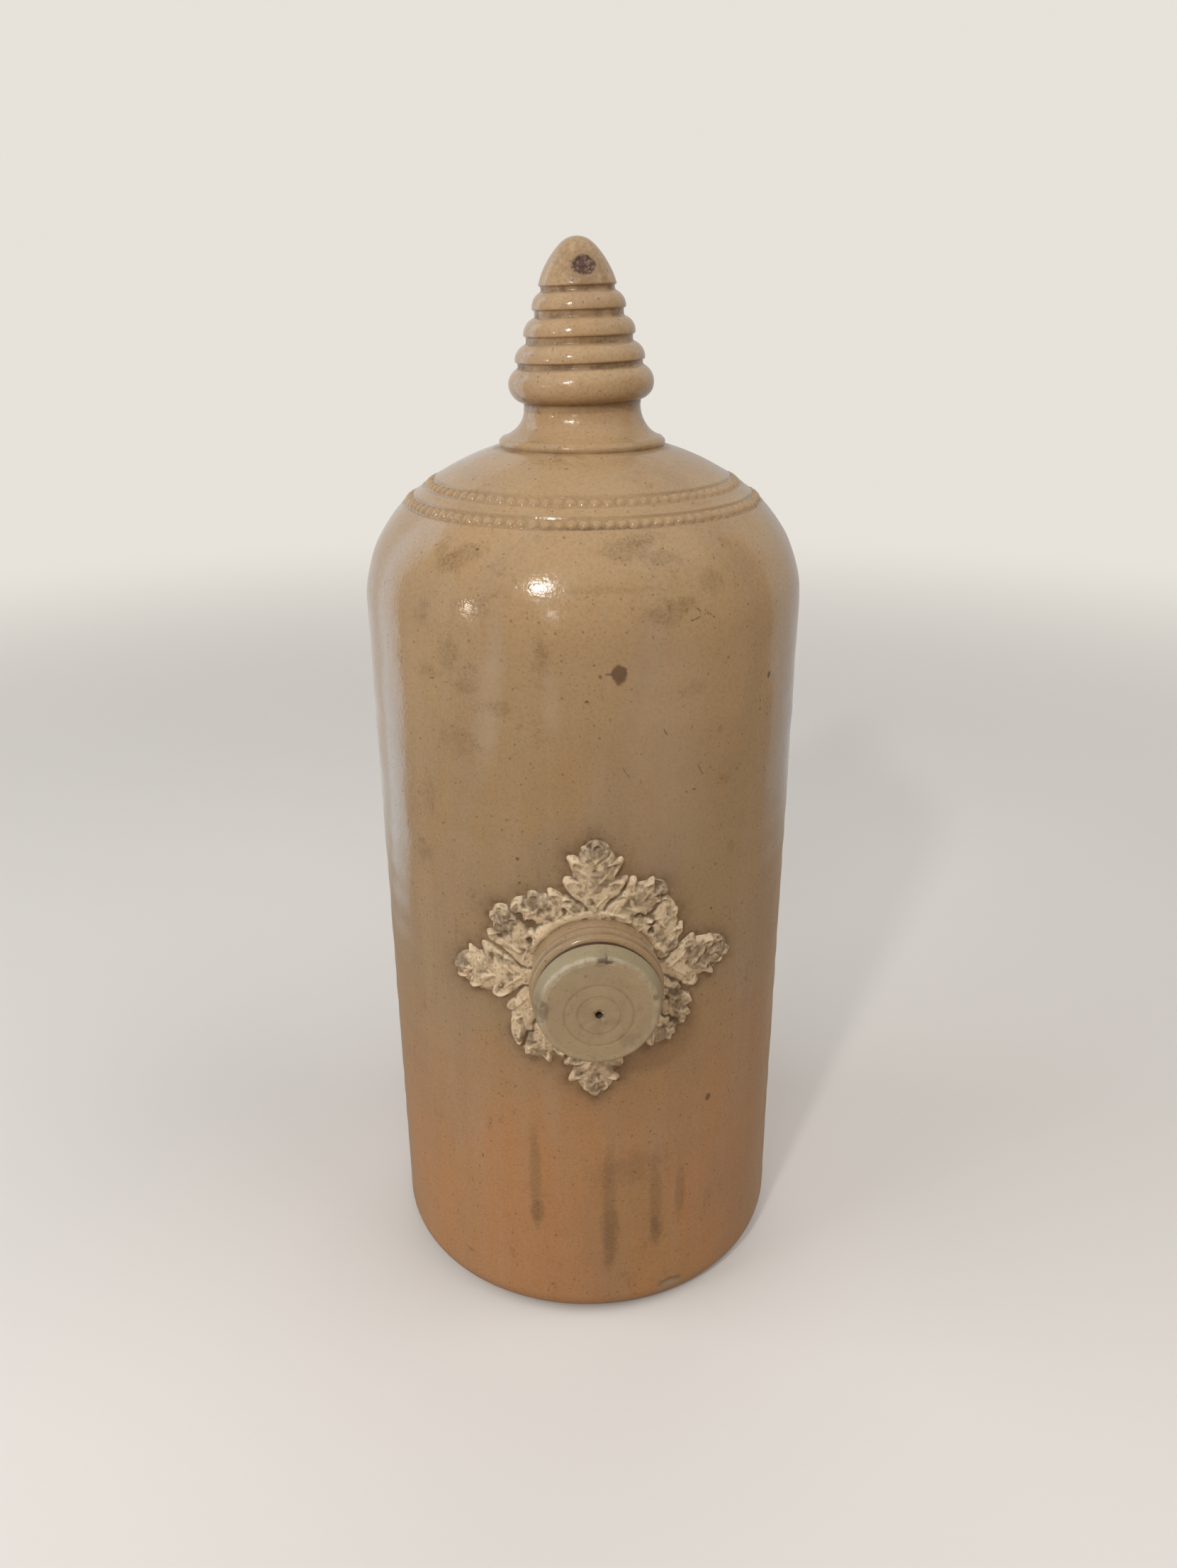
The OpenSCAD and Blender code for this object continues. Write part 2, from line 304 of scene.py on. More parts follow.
def put(name, points, faces, materials, layers=None, choose=None):
    """Makes a smooth mesh object at the origin from arrays of corners."""
    mesh = bpy.data.meshes.new(name)
    mesh.from_pydata(points.tolist(), [], [f for block in faces for f in block.tolist()])
    for material in materials:
        mesh.materials.append(material)
    mesh.polygons.foreach_set("use_smooth", np.ones(len(mesh.polygons), bool))
    if choose is not None:
        mesh.polygons.foreach_set("material_index", choose.astype(np.int32))
    for key, value in (layers or {}).items():
        mesh.attributes.new(key, "FLOAT", "POINT").data.foreach_set(
            "value", np.clip(value, 0, 1).astype(np.float32)
        )
    mesh.update()
    if mesh.validate():
        raise RuntimeError(f"{name} has faces that Blender had to mend")
    piece = bpy.data.objects.new(name, mesh)
    bpy.context.scene.collection.objects.link(piece)
    return piece


def turns(count, start=0.0):
    """Row of turns once round, evenly spread from the start."""
    return np.linspace(start, start + 2 * math.pi, count, endpoint=False)[None, :]


def tube(name, grid, clay, layers):
    """A piece out of a grid whose rows and columns both close on themselves."""
    faces = woven(*grid.shape[:2], wrap_rows=True)
    return put(
        name, grid.reshape(-1, 3), [faces], [MATERIALS[clay]], {k: v.ravel() for k, v in layers.items()},
    )


def waver(turn, height, amount):
    """Slow unevenness of the thrown wall: waves of two and three to the turn that drift with
    the height, and shallow throwing rings, all below the turned size. It dies out round the
    spout."""
    drift = 0.5 * np.sin(2 * turn + 0.7 + height / 0.07) + 0.35 * np.sin(3 * turn - 1.1 - height / 0.11)
    rings = 0.28 * np.sin(height / 0.0021 + 0.9 * np.sin(turn)) * np.sin(height / 0.017 + turn)
    fine = 0.45 * lumps(turn * 0.073, height, 0.012, 5)
    spout = bpy.context.scene.bottle_spout.height
    away = smooth(np.hypot(0.073 * np.sin(turn), height - spout) + 0.2 * (np.cos(turn) < 0), 0.045, 0.065)
    return amount * (drift + rings + fine - 1.15) * (0.1 + 0.9 * away)


def body_line(s):
    """Half outline of the body as (radius, height): flat base, base edge, straight wall,
    shoulder turn and crown, and the two curves' centres. The crown's centre lies on the line
    through the shoulder's, so the arcs meet without a corner."""
    shoulder = np.array([s.radius - s.shoulder_radius, s.shoulder_start])
    gap = s.crown_radius - s.shoulder_radius
    crown = shoulder - gap * np.array([math.cos(s.crown_angle), math.sin(s.crown_angle)])
    top = math.pi / 2 + math.asin(crown[0] / s.crown_radius)
    line = np.concatenate([
        [[0, 0]],
        arc((s.radius - s.base_edge, s.base_edge), s.base_edge, -math.pi / 2, 0),
        arc(shoulder, s.shoulder_radius, 0, s.crown_angle),
        arc(crown, s.crown_radius, s.crown_angle, top),
    ])
    return line, shoulder, crown


def band_place(s, b, lower):
    """Middle of a bead band on the body's outline, as (radius, height), and the outline's
    outward direction there."""
    _, shoulder, crown = body_line(s)
    if lower:
        centre, radius, a = shoulder, s.shoulder_radius, b.lower_angle
    else:
        centre, radius, a = crown, s.crown_radius, b.upper_angle
    out = np.array([math.cos(a), math.sin(a)])
    return centre + radius * out, out


# Leaves, laid flat round the spout's axis: x across and y up, in millimetres as seen from
# the front. Each has its root, its tip, the points of its lobes, and how crumpled it is.
LAID = (
    (
        (0, 20.8), (0.4, 46.6),
        ((-9.5, 34.4), (-7.9, 41.2), (-3.9, 44.8), (9.8, 34.0), (8.3, 40.2), (4.2, 43.8)), 0.5,
    ),
    (
        (-21.4, -2.6), (-49.0, -3.4),
        ((-30.5, 5.6), (-37.0, 7.2), (-42.8, 4.8), (-34.0, -11.8), (-42.2, -10.4), (-47.0, -7.4)), 0.35,
    ),
    (
        (0, -20.8), (0.2, -46.9),
        ((-9.7, -35.0), (-8.5, -41.0), (-3.8, -45.2), (8.8, -35.4), (7.9, -41.2), (4.0, -45.0)), 0.6,
    ),
    (
        (21.0, 0), (47.5, 0.4),
        ((33.9, 8.9), (40.6, 6.8), (45.2, 3.8), (35.2, -9.9), (41.6, -7.6), (45.2, -3.8)), 0.9,
    ),
    (
        (-4.0, 22.0), (-27.2, 22.8),
        ((-10.0, 28.0), (-14.6, 29.8), (-20.8, 28.0), (-16.8, 16.2), (-12.0, 18.2), (-22.4, 19.4)), 0.55,
    ),
    (
        (-22.4, 3.6), (-31.2, 22.4),
        ((-35.7, 12.2), (-34.8, 18.6), (-25.4, 19.8), (-19.0, 16.0), (-18.0, 11.0)), 0.9,
    ),
    (
        (4.5, 21.4), (23.4, 28.8),
        ((9.0, 29.0), (12.4, 33.4), (18.4, 32.4), (12.0, 18.6), (17.6, 20.4), (21.8, 24.4)), 0.8,
    ),
    ((21.8, 5.0), (22.4, 25.8), ((27.2, 8.6), (28.8, 14.2), (26.8, 20.6), (18.0, 10.6), (18.8, 18.6)), 0.3),
    (
        (-21.6, -6.4), (-25.4, -29.2),
        ((-29.1, -15.6), (-28.0, -20.8), (-26.6, -25.6), (-19.4, -14.0), (-19.8, -22.6)), 0.4,
    ),
    ((-12.4, -19.4), (-22.9, -31.8), ((-17.8, -23.2), (-21.4, -27.4), (-15.6, -34.6), (-10.6, -32.2)), 0.6),
    (
        (21.6, -5.0), (30.2, -23.2),
        ((29.8, -9.4), (33.2, -14.8), (32.4, -19.4), (22.2, -12.4), (22.8, -19.4)), 0.8,
    ),
    ((14.5, -18.4), (27.4, -25.9), ((23.2, -21.0), (24.8, -28.0), (18.4, -29.8), (13.0, -27.4)), 0.6),
    ((11.4, 18.4), (19.0, 17.4), ((14.8, 20.6), (14.8, 14.8)), 0.3),
)

# Where soil has settled on the leaves: x and y, how far it reaches in millimetres, how
# strong it is. Strength over 1 marks a hole or fold, which is sunk and gets a painted deep shadow.
SOILED = (
    (0.6, 44.4, 4.6, 0.9), (7.2, 38.8, 2.4, 0.6), (-4.8, 29.4, 1.7, 0.7), (0.4, 30.8, 2.0, 0.6),
    (-1.2, 26.3, 1.2, 0.6),
    (5.6, 33.0, 1.6, 0.5), (-19.0, 25.2, 3.9, 1.0), (-15.4, 23.8, 2.0, 0.6), (-9.4, 22.9, 1.3, 1.0),
    (-29.4, 16.0, 4.9, 1.0),
    (-27.0, 20.6, 2.6, 0.7), (-20.4, 17.1, 1.9, 1.6), (-20.4, 11.4, 1.3, 1.5), (-23.4, 19.2, 1.4, 1.5),
    (-46.4, -1.8, 3.9, 0.95),
    (-43.6, 2.4, 1.8, 0.8), (-35.6, 0.2, 2.4, 0.4), (-38.5, -4.0, 2.2, 0.45), (21.0, 28.6, 3.6, 0.95),
    (15.0, 26.0, 3.8, 0.6),
    (9.4, 24.4, 2.2, 0.5), (11.4, 20.4, 1.2, 0.9), (17.4, 13.8, 1.7, 1.2), (24.4, 7.8, 2.4, 0.8),
    (22.6, 16.2, 1.6, 0.45),
    (36.0, 1.6, 6.0, 0.75), (44.6, 1.0, 4.2, 0.95), (31.0, 6.2, 2.6, 0.6), (39.5, -5.5, 3.0, 0.7),
    (26.4, -11.2, 3.8, 0.95),
    (30.0, -15.4, 2.8, 0.8), (25.4, -20.8, 1.5, 1.6), (21.8, -25.6, 3.0, 0.5), (-27.0, -14.0, 2.0, 0.4),
    (-22.4, -25.0, 3.0, 0.8),
    (-18.2, -31.0, 3.2, 0.75), (-24.6, -19.6, 1.4, 0.6), (-5.0, -37.4, 2.6, 0.7), (0.4, -44.2, 3.8, 0.85),
    (6.2, -36.0, 2.6, 0.75), (1.0, -33.6, 1.5, 0.5),
)


def pressed_parts():
    """The parts that each leaf is pressed from: a broad blade, then a lobe to each point, which
    starts on the midrib nearer the root. Gives start, end, half width, lift, bend, how much
    the edge curls (none for a blade), how crumpled the leaf is, and the leaf's number."""
    rng = np.random.default_rng(7)
    for leaf, (root, tip, lobes, crumpled) in enumerate(LAID):
        root, tip, lobes = (np.array(x) * MM for x in (root, tip, lobes + (tip,)))
        run = np.linalg.norm(tip - root)
        along = (tip - root) / run
        across = np.array([along[1], -along[0]])
        yield root, tip, 0.74 * np.abs((lobes - root) @ across).max(), 0.90, 0.0, 0.0, crumpled, leaf
        for lobe in lobes:
            a, x = (lobe - root) @ along, (lobe - root) @ across
            start = root + along * np.clip(a - 1.15 * abs(x), 0.04 * run, 0.72 * run)
            width = (0.15 * np.linalg.norm(lobe - start) + 0.0011) * (1 + 0.10 * rng.normal())
            lift, bend = 1 + 0.14 * rng.normal(), np.sign(x) * 0.12 + 0.06 * rng.normal()
            yield start, lobe, width, lift, bend, rng.uniform(0.5, 1.5), crumpled, leaf


def wreath_field(w, collar):
    """The wreath's relief over a flat grid. Each part is a dome of height 1 less a power of the
    distance from its middle line, counted in half widths; a lobe has a curled edge, a cupped
    middle and a vein. The highest part shows. A ring of clay beds the roots, and crinkles lie
    over all. Returns both flat coordinates, heights, and how soiled each place is."""
    xs, ys = np.arange(-0.0515, 0.0505, w.grain), np.arange(-0.0490, 0.0490, w.grain)
    fx, fy = np.meshgrid(xs, ys)
    warped = [
        f + 0.0005 * lumps(fx, fy, 0.0042, 11 + k) + 0.0002 * lumps(fx, fy, 0.0017, 13 + k)
        for k, f in enumerate((fx, fy))]
    height = np.full(fx.shape, -0.004)
    crumple = np.zeros(fx.shape)
    owner = np.full(fx.shape, -1)
    for start, end, width, lift, bend, curled, crumpled, leaf in pressed_parts():
        low, high = np.minimum(start, end) - 1.5 * width - 0.001, np.maximum(start, end) + 1.5 * width + 0.001
        part = (
            slice(*np.searchsorted(ys, (low[1], high[1]))), slice(*np.searchsorted(xs, (low[0], high[0])))
        )
        run = np.linalg.norm(end - start)
        along = (end - start) / run
        px, py = warped[0][part] - start[0], warped[1][part] - start[1]
        t = (px * along[0] + py * along[1]) / run
        across = px * along[1] - py * along[0] + bend * run * t * (1 - t)
        half = width * (0.55 + 0.45 * smooth(t, 0, 0.5) if curled else 0.70 + 0.30 * smooth(t, 0, 0.4))
        past = np.clip((t - 0.45) / 0.55, 0, None) ** (1.7 if curled else 2.0)
        far = np.sqrt((across / half) ** 2 + past + np.clip(-t * run / half, 0, None) ** 2)
        lip = smooth(t, 0.35, 0.9)
        rise = w.relief * lift * (1 - far ** (3 if curled else 4))
        if curled:
            rise = (
                rise + curled * w.curl * hump(far, 0.78, 0.13) * lip
                - w.cup * np.clip(1 - (far / 0.75) ** 2, 0, 1) * lip
            )
            rise = rise + w.rib * hump(across, 0, 0.0004) * (1 - smooth(t, 0.35, 0.8))
        crumple[part] = np.where(
            rise > height[part], crumpled * (0.35 + 0.65 * smooth(t, 0.2, 0.8)), crumple[part]
        )
        owner[part] = np.where(rise > height[part], leaf, owner[part])
        height[part] = np.maximum(height[part], rise)
    reach, turn = np.hypot(fx, fy), np.arctan2(fy, fx)
    above = smooth(np.sin(turn), 0.0, 0.8)
    wide = 0.0012 + 0.0013 * above * (1 + 0.3 * lumps(turn * 0.02, 0 * turn, 0.004, 51))
    ring = (0.0012 + 0.0006 * above) * (1 - (np.abs(reach - collar - 0.0012 - 0.0004 * above) / wide) ** 2.5)
    owner = np.where(ring > height, -1, owner)
    crumple = (
        np.where(ring > height, 0.1, crumple)
        * (0.4 + 1.1 * np.clip(0.5 + 0.9 * lumps(fx, fy, 0.006, 88), 0, 1))
    )
    height = np.maximum(height, ring)
    # Brown mottling over the blades' middles, which leaves their raised edges clean, and soil
    # at its places, which covers edges too
    raised = smooth(-low_places(height, 5), 0.00002, 0.00030)
    mottle = smooth(lumps(fx, fy, 0.0030, 91) + 0.6 * lumps(fx, fy, 0.0013, 92), 0.05, 0.75)
    soiled = np.maximum(0.35 * crumple, 0.70 * mottle) * (1 - 0.8 * raised)
    # A dark crease where one leaf ends against the next
    meeting = np.zeros(fx.shape)
    meeting[1:] += (owner[1:] != owner[:-1]) & (np.minimum(owner[1:], owner[:-1]) >= 0)
    meeting[:, 1:] += (owner[:, 1:] != owner[:, :-1]) & (np.minimum(owner[:, 1:], owner[:, :-1]) >= 0)
    crease = (
        np.clip(3.0 * neighbour_mean(np.minimum(meeting, 1), 1), 0, 1)
        * np.clip(0.8 + 0.8 * lumps(fx, fy, 0.004, 93), 0, 1)
    )
    height = np.where(height > 0.0004, np.maximum(height - 0.0007 * crease, 0.0004), height)
    soiled = np.maximum(soiled, 1.1 * crease)
    ragged, finer = 0.45 * lumps(fx, fy, 0.0019, 89), 0.25 * lumps(fx, fy, 0.0008, 90)
    for x, y, wide, strength in SOILED:
        far = np.hypot(fx - x * MM, fy - y * MM) / (wide * MM) + ragged + finer
        soiled = np.maximum(soiled, strength * (1 - smooth(far, 0.6, 1.15)) * (1 - 0.25 * raised))
        if strength > 1:
            sunk = height - 0.0016 * (1 - smooth(far, 0.45, 0.95))
            height = np.where(height > 0.0003, np.maximum(sunk, 0.0003), height)
    crumple = np.clip(0.45 * crumple + 0.65 * np.clip(soiled, 0, 1), 0, 1)
    fine = (
        0.9 * lumps(fx, fy, 0.0034, 80) + 0.30 * lumps(fx, fy, 0.0015, 81) + 0.14 * lumps(fx, fy, 0.0008, 82)
    )
    folds = 1 - 3.0 * np.abs(lumps(fx, fy, 0.0038, 83) + 0.35 * lumps(fx, fy, 0.0015, 84))
    crinkles = (
        fine * (0.35 + 0.6 * crumple) + crumple * folds + 0.7 * crumple ** 2 * lumps(fx, fy, 0.0012, 94)
    )
    height = height + w.crinkle * smooth(height, 0, 0.0008) * crinkles
    return fx, fy, height, soiled


# Shader building


def feed(tree, socket, value):
    """Links a socket from another, or sets its value. A colour's three values gain an alpha."""
    if isinstance(value, bpy.types.NodeSocket):
        tree.links.new(value, socket)
    else:
        socket.default_value = (*value, 1) if socket.type == "RGBA" else value


def add(tree, kind, settings=None, **inputs):
    """Adds a node. An input goes by its socket's name, or by an underscore and its number."""
    node = tree.nodes.new(kind)
    for key, value in (settings or {}).items():
        setattr(node, key, value)
    for key, value in inputs.items():
        names = (key, key.replace("_", " "))
        named = next((s for s in node.inputs if s.name in names and s.enabled), None)
        feed(tree, named or node.inputs[int(key[1:])], value)
    return node


def times(tree, a, b, operation="MULTIPLY", clamp=False):
    """Product of two values, or another operation on them."""
    return add(tree, "ShaderNodeMath", {"operation": operation, "use_clamp": clamp}, _0=a, _1=b).outputs[0]


def vector(tree, operation, a, b=(0, 0, 0)):
    """An operation on two vectors: a length or a dot product is a number."""
    node = add(tree, "ShaderNodeVectorMath", {"operation": operation}, _0=a, _1=b)
    return node.outputs["Value" if operation in {"LENGTH", "DOT_PRODUCT"} else "Vector"]


def noise(tree, place, scale, detail, roughness=0.5, distortion=0.0, output=0):
    settings = {"Scale": scale, "Detail": detail, "Roughness": roughness, "Distortion": distortion}
    return add(tree, "ShaderNodeTexNoise", Vector=place, **settings).outputs[output]


def ranged(tree, value, low, high, to_low=0.0, to_high=1.0, kind="SMOOTHSTEP"):
    """Carries the range from low to high over to another, 0 to 1 if none is given."""
    node = add(
        tree, "ShaderNodeMapRange", {"interpolation_type": kind}, _0=value, _1=low, _2=high, _3=to_low,
        _4=to_high,
    )
    return node.outputs[0]


def blend(tree, mask, under, over):
    """Colour over laid on colour under by the mask."""
    return add(tree, "ShaderNodeMix", {"data_type": "RGBA"}, _0=mask, _6=under, _7=over).outputs[2]


def tinted(tree, tone, mask, share, tint):
    """The tone with a tint laid on it by a share of the mask."""
    return blend(tree, times(tree, mask, share), tone, tint)


def bumped(tree, height, strength, distance, **normal):
    """Normal bent by a height, on top of another normal if there is one."""
    return add(tree, "ShaderNodeBump", Strength=strength, Distance=distance, Height=height, **normal).outputs[
        0
    ]


GROUP_MAKERS = {}


def node_group(output, **inputs):
    """Makes a shared node group out of a function that joins nodes. The function gets the
    group's inputs in order and returns what goes out. Its name then adds the group to a tree,
    read at a place, with values or sockets for its other inputs."""

    def wrap(build):
        name = build.__name__

        def make():
            tree = bpy.data.node_groups.new(name, "ShaderNodeTree")
            for label, default in inputs.items():
                kind = "NodeSocketVector" if isinstance(default, tuple) else "NodeSocketFloat"
                tree.interface.new_socket(label, in_out="INPUT", socket_type=kind).default_value = default
            tree.interface.new_socket(output, in_out="OUTPUT", socket_type="NodeSocketFloat")
            given = tree.nodes.new("NodeGroupInput").outputs
            result = build(tree, *(given[label] for label in inputs))
            tree.links.new(result, tree.nodes.new("NodeGroupOutput").inputs[output])

        def use(tree, place, **values):
            settings = {"node_tree": bpy.data.node_groups[name]}
            return add(tree, "ShaderNodeGroup", settings, Vector=place, **values).outputs[0]

        GROUP_MAKERS[name] = make
        use.__doc__ = build.__doc__
        return use

    return wrap


ORIGIN = (0, 0, 0)


@node_group("Height", Vector=ORIGIN, Scale=420.0)
def orange_peel(tree, place, scale):
    """Height of the dimpled skin of a salt glaze: cells of two sizes and a slow swell."""
    voronoi = {"Vector": place, "Scale": scale, "Smoothness": 0.8}
    cells = add(tree, "ShaderNodeTexVoronoi", {"feature": "SMOOTH_F1"}, **voronoi).outputs["Distance"]
    fine = noise(tree, place, times(tree, scale, 2.1), 2.0)
    slow = noise(tree, place, times(tree, scale, 0.22), 1.0)
    swell = times(tree, times(tree, fine, 0.45), times(tree, slow, 0.6), "ADD")
    return times(tree, times(tree, cells, 0.45), swell, "ADD")


@node_group("Mask", Vector=ORIGIN, Scale=300.0, Size=0.2, Rarity=4.0)
def iron_specks(tree, place, scale, size, rarity):
    """Iron specks: one round spot in each cell of a lattice, and most of them too small to show."""
    cell = add(tree, "ShaderNodeTexVoronoi", Vector=place, Scale=scale, Randomness=1.0).outputs
    chance = add(tree, "ShaderNodeSeparateColor", Color=cell["Color"]).outputs[0]
    reach = times(tree, times(tree, chance, rarity, "POWER"), size)
    ragged = noise(tree, place, times(tree, scale, 3.0), 1.0)
    edge = times(tree, cell["Distance"], times(tree, ragged, 0.5, "ADD"))
    return ranged(tree, times(tree, edge, reach, "SUBTRACT"), 0.03, -0.03)


@node_group("Mask", Vector=ORIGIN, Scale=20.0, Stretch=(1, 1, 1), Low=0.45, High=0.7)
def cloud(tree, place, scale, stretch, low, high):
    """Cloudy mask: layered noise, stretched upright by Stretch, cut between Low and High."""
    return ranged(
        tree, noise(tree, vector(tree, "MULTIPLY", place, stretch), scale, 5.0, 0.62, 0.3), low, high
    )


@node_group(
    "Mask", Vector=ORIGIN, Centre=ORIGIN, Reach=(1, 1, 1), Ragged=0.5, Grain=300.0, Soft=0.3, Broken=0.0
)
def placed_mark(tree, place, centre, reach, ragged, grain, soft, broken):
    """One mark at a place: distance from its centre in reaches, made ragged by noise and
    broken up by a finer one."""
    off = vector(tree, "DIVIDE", vector(tree, "SUBTRACT", place, centre), reach)
    rough = times(tree, noise(tree, place, grain, 4.0, 0.7), 0.5, "SUBTRACT")
    far = times(tree, vector(tree, "LENGTH", off), times(tree, rough, times(tree, ragged, 2.0)), "ADD")
    whole = ranged(tree, far, times(tree, 1.0, soft, "ADD"), times(tree, 1.0, soft, "SUBTRACT"))
    fine = noise(tree, place, times(tree, grain, 3.4), 4.0, 0.75)
    gaps = times(tree, ranged(tree, fine, 0.62, 0.40), broken)
    return times(tree, whole, times(tree, 1.0, gaps, "SUBTRACT"))


@node_group("Mask", Vector=ORIGIN, Start=ORIGIN, End=(1, 0, 0), Width=0.00028)
def hairline(tree, place, start, end, width):
    """A bent hairline from Start to End: how far a place lies off the line, measured from the
    nearest point on it, with noise bending the line."""
    bend = vector(tree, "SUBTRACT", noise(tree, place, 230.0, 1.0, output="Color"), (0.5, 0.5, 0.5))
    bend = vector(tree, "MULTIPLY", bend, (0.004, 0.004, 0.004))
    off = vector(tree, "SUBTRACT", vector(tree, "ADD", place, bend), start)
    run = vector(tree, "SUBTRACT", end, start)
    along, whole = vector(tree, "DOT_PRODUCT", off, run), vector(tree, "DOT_PRODUCT", run, run)
    share = times(tree, along, whole, "DIVIDE", True)
    nearest = add(tree, "ShaderNodeVectorMath", {"operation": "SCALE"}, _0=run, _3=share).outputs[0]
    far = vector(tree, "LENGTH", vector(tree, "SUBTRACT", off, nearest))
    return ranged(tree, times(tree, far, width, "DIVIDE"), 1.4, 0.4)


@node_group("Mask", Vector=ORIGIN, Hollow=0.0, Scale=500.0, Amount=1.0)
def dirt_and_shade_in_hollows(tree, place, hollow, scale, amount):
    """Dirt settled in low places: the hollow value, broken up by noise."""
    broken = ranged(tree, noise(tree, place, scale, 4.0, 0.65), 0.25, 0.75, 0.35, 1.5, "LINEAR")
    return times(tree, times(tree, hollow, broken), amount, "MULTIPLY", True)


def started(name):
    """A new material's tree, its shader and the object's own coordinates."""
    material = bpy.data.materials.new(name)
    material.use_nodes = True
    tree = material.node_tree
    return material, tree, tree.nodes["Principled BSDF"], tree.nodes.new("ShaderNodeTexCoord").outputs["Object"]


def finished(tree, shader, tone, rough, normal):
    """Feeds a material's shader its colour, roughness and normal."""
    for label, value in (("Base Color", tone), ("Roughness", rough), ("Normal", normal)):
        tree.links.new(value, shader.inputs[label])


def layer(tree, key):
    """A value that the mesh carries at its points."""
    return add(tree, "ShaderNodeAttribute", {"attribute_name": key}).outputs["Fac"]


# Marks on the glaze: where (turn from the front in degrees, height), how far they reach
# across and up in millimetres, raggedness, strength, and S for stain, D for dirt, R for
# a drip's run or P for a paler streak.
MARKS = (
    (16.0, 232.0, 11.0, 26.0, 0.8, 0.24, "P"), (19.0, 196.0, 12.0, 18.0, 0.9, 0.18, "P"),
    (-22.9, 251.0, 2.6, 9.0, 0.7, 0.40, "P"),
    (-24.6, 236.0, 3.2, 11.0, 0.8, 0.40, "P"), (-26.2, 222.0, 3.4, 8.0, 0.9, 0.34, "P"),
    (-10.0, 236.0, 2.2, 9.0, 0.8, 0.30, "P"), (-12.0, 96.0, 3.0, 14.0, 0.8, 0.20, "P"),
    (5.8, 244.0, 2.3, 3.0, 0.5, 0.80, "S"), (1.4, 243.7, 0.7, 0.9, 0.6, 0.7, "S"),
    (3.2, 244.3, 1.0, 0.4, 0.6, 0.6, "S"), (1.2, 242.4, 0.4, 0.5, 0.6, 0.7, "S"),
    (-1.6, 236.2, 0.9, 0.5, 0.9, 0.75, "S"), (-3.8, 234.4, 0.5, 0.4, 0.9, 0.65, "S"),
    (-19.0, 184.6, 0.6, 0.6, 0.5, 0.7, "S"), (-18.6, 176.4, 0.5, 0.5, 0.5, 0.7, "S"),
    (50.7, 235.2, 1.0, 1.2, 0.4, 0.9, "S"), (33.3, 86.6, 1.2, 1.5, 0.5, 0.75, "S"),
    (-31.0, 277.4, 0.7, 0.4, 0.6, 0.7, "S"),
    (-38.0, 273.2, 4.6, 2.6, 1.3, 0.66, "D"), (-33.0, 276.6, 5.0, 2.2, 1.5, 0.50, "D"),
    (-42.0, 277.0, 2.4, 5.0, 1.5, 0.45, "D"), (-30.0, 262.0, 5.5, 2.0, 1.6, 0.30, "D"),
    (9.5, 277.8, 7.5, 2.4, 1.4, 0.55, "D"), (14.0, 280.4, 6.0, 1.6, 1.6, 0.50, "D"),
    (18.0, 275.4, 6.0, 1.6, 1.6, 0.42, "D"), (4.0, 268.0, 14.0, 1.0, 1.9, 0.30, "D"),
    (16.5, 260.2, 5.5, 2.6, 1.5, 0.50, "D"), (21.0, 263.0, 5.0, 1.8, 1.7, 0.50, "D"),
    (-12.0, 250.0, 2.2, 5.0, 1.5, 0.55, "D"), (31.0, 268.0, 4.0, 3.0, 1.6, 0.36, "D"),
    (-35.5, 247.0, 3.4, 4.6, 1.5, 0.45, "D"), (-31.5, 238.0, 4.0, 1.8, 1.6, 0.45, "D"),
    (-22.5, 233.0, 4.0, 2.4, 1.5, 0.48, "D"), (-42.5, 241.0, 4.0, 2.0, 1.6, 0.40, "D"),
    (-34.0, 221.0, 6.0, 5.0, 1.7, 0.34, "D"), (34.5, 206.0, 2.6, 2.0, 1.6, 0.45, "D"),
    (-45.0, 199.0, 4.0, 5.0, 1.7, 0.38, "D"), (-48.0, 178.0, 3.0, 4.0, 1.7, 0.42, "D"),
    (24.0, 238.0, 4.0, 2.0, 1.9, 0.25, "D"), (-44.0, 258.0, 3.0, 3.0, 1.9, 0.36, "D"),
    (38.0, 182.0, 2.0, 2.0, 1.5, 0.36, "D"), (9.5, 176.0, 1.8, 1.4, 1.3, 0.40, "D"),
    (-16.6, 62.0, 2.0, 20.0, 0.7, 0.40, "R"), (-16.3, 47.0, 2.4, 5.5, 0.9, 0.48, "R"),
    (3.8, 49.0, 2.4, 24.0, 0.8, 0.38, "R"), (4.0, 36.0, 2.8, 13.0, 0.9, 0.38, "R"),
    (17.0, 50.0, 2.2, 18.0, 0.7, 0.40, "R"), (17.4, 36.0, 2.4, 6.0, 0.9, 0.46, "R"),
    (24.6, 50.0, 1.9, 11.0, 0.7, 0.40, "R"), (10.0, 66.0, 12.0, 6.0, 1.6, 0.24, "R"),
    (22.0, 9.8, 4.6, 2.1, 0.5, 0.55, "S"), (22.0, 8.8, 4.0, 1.7, 0.5, 0.75, "P"),
)

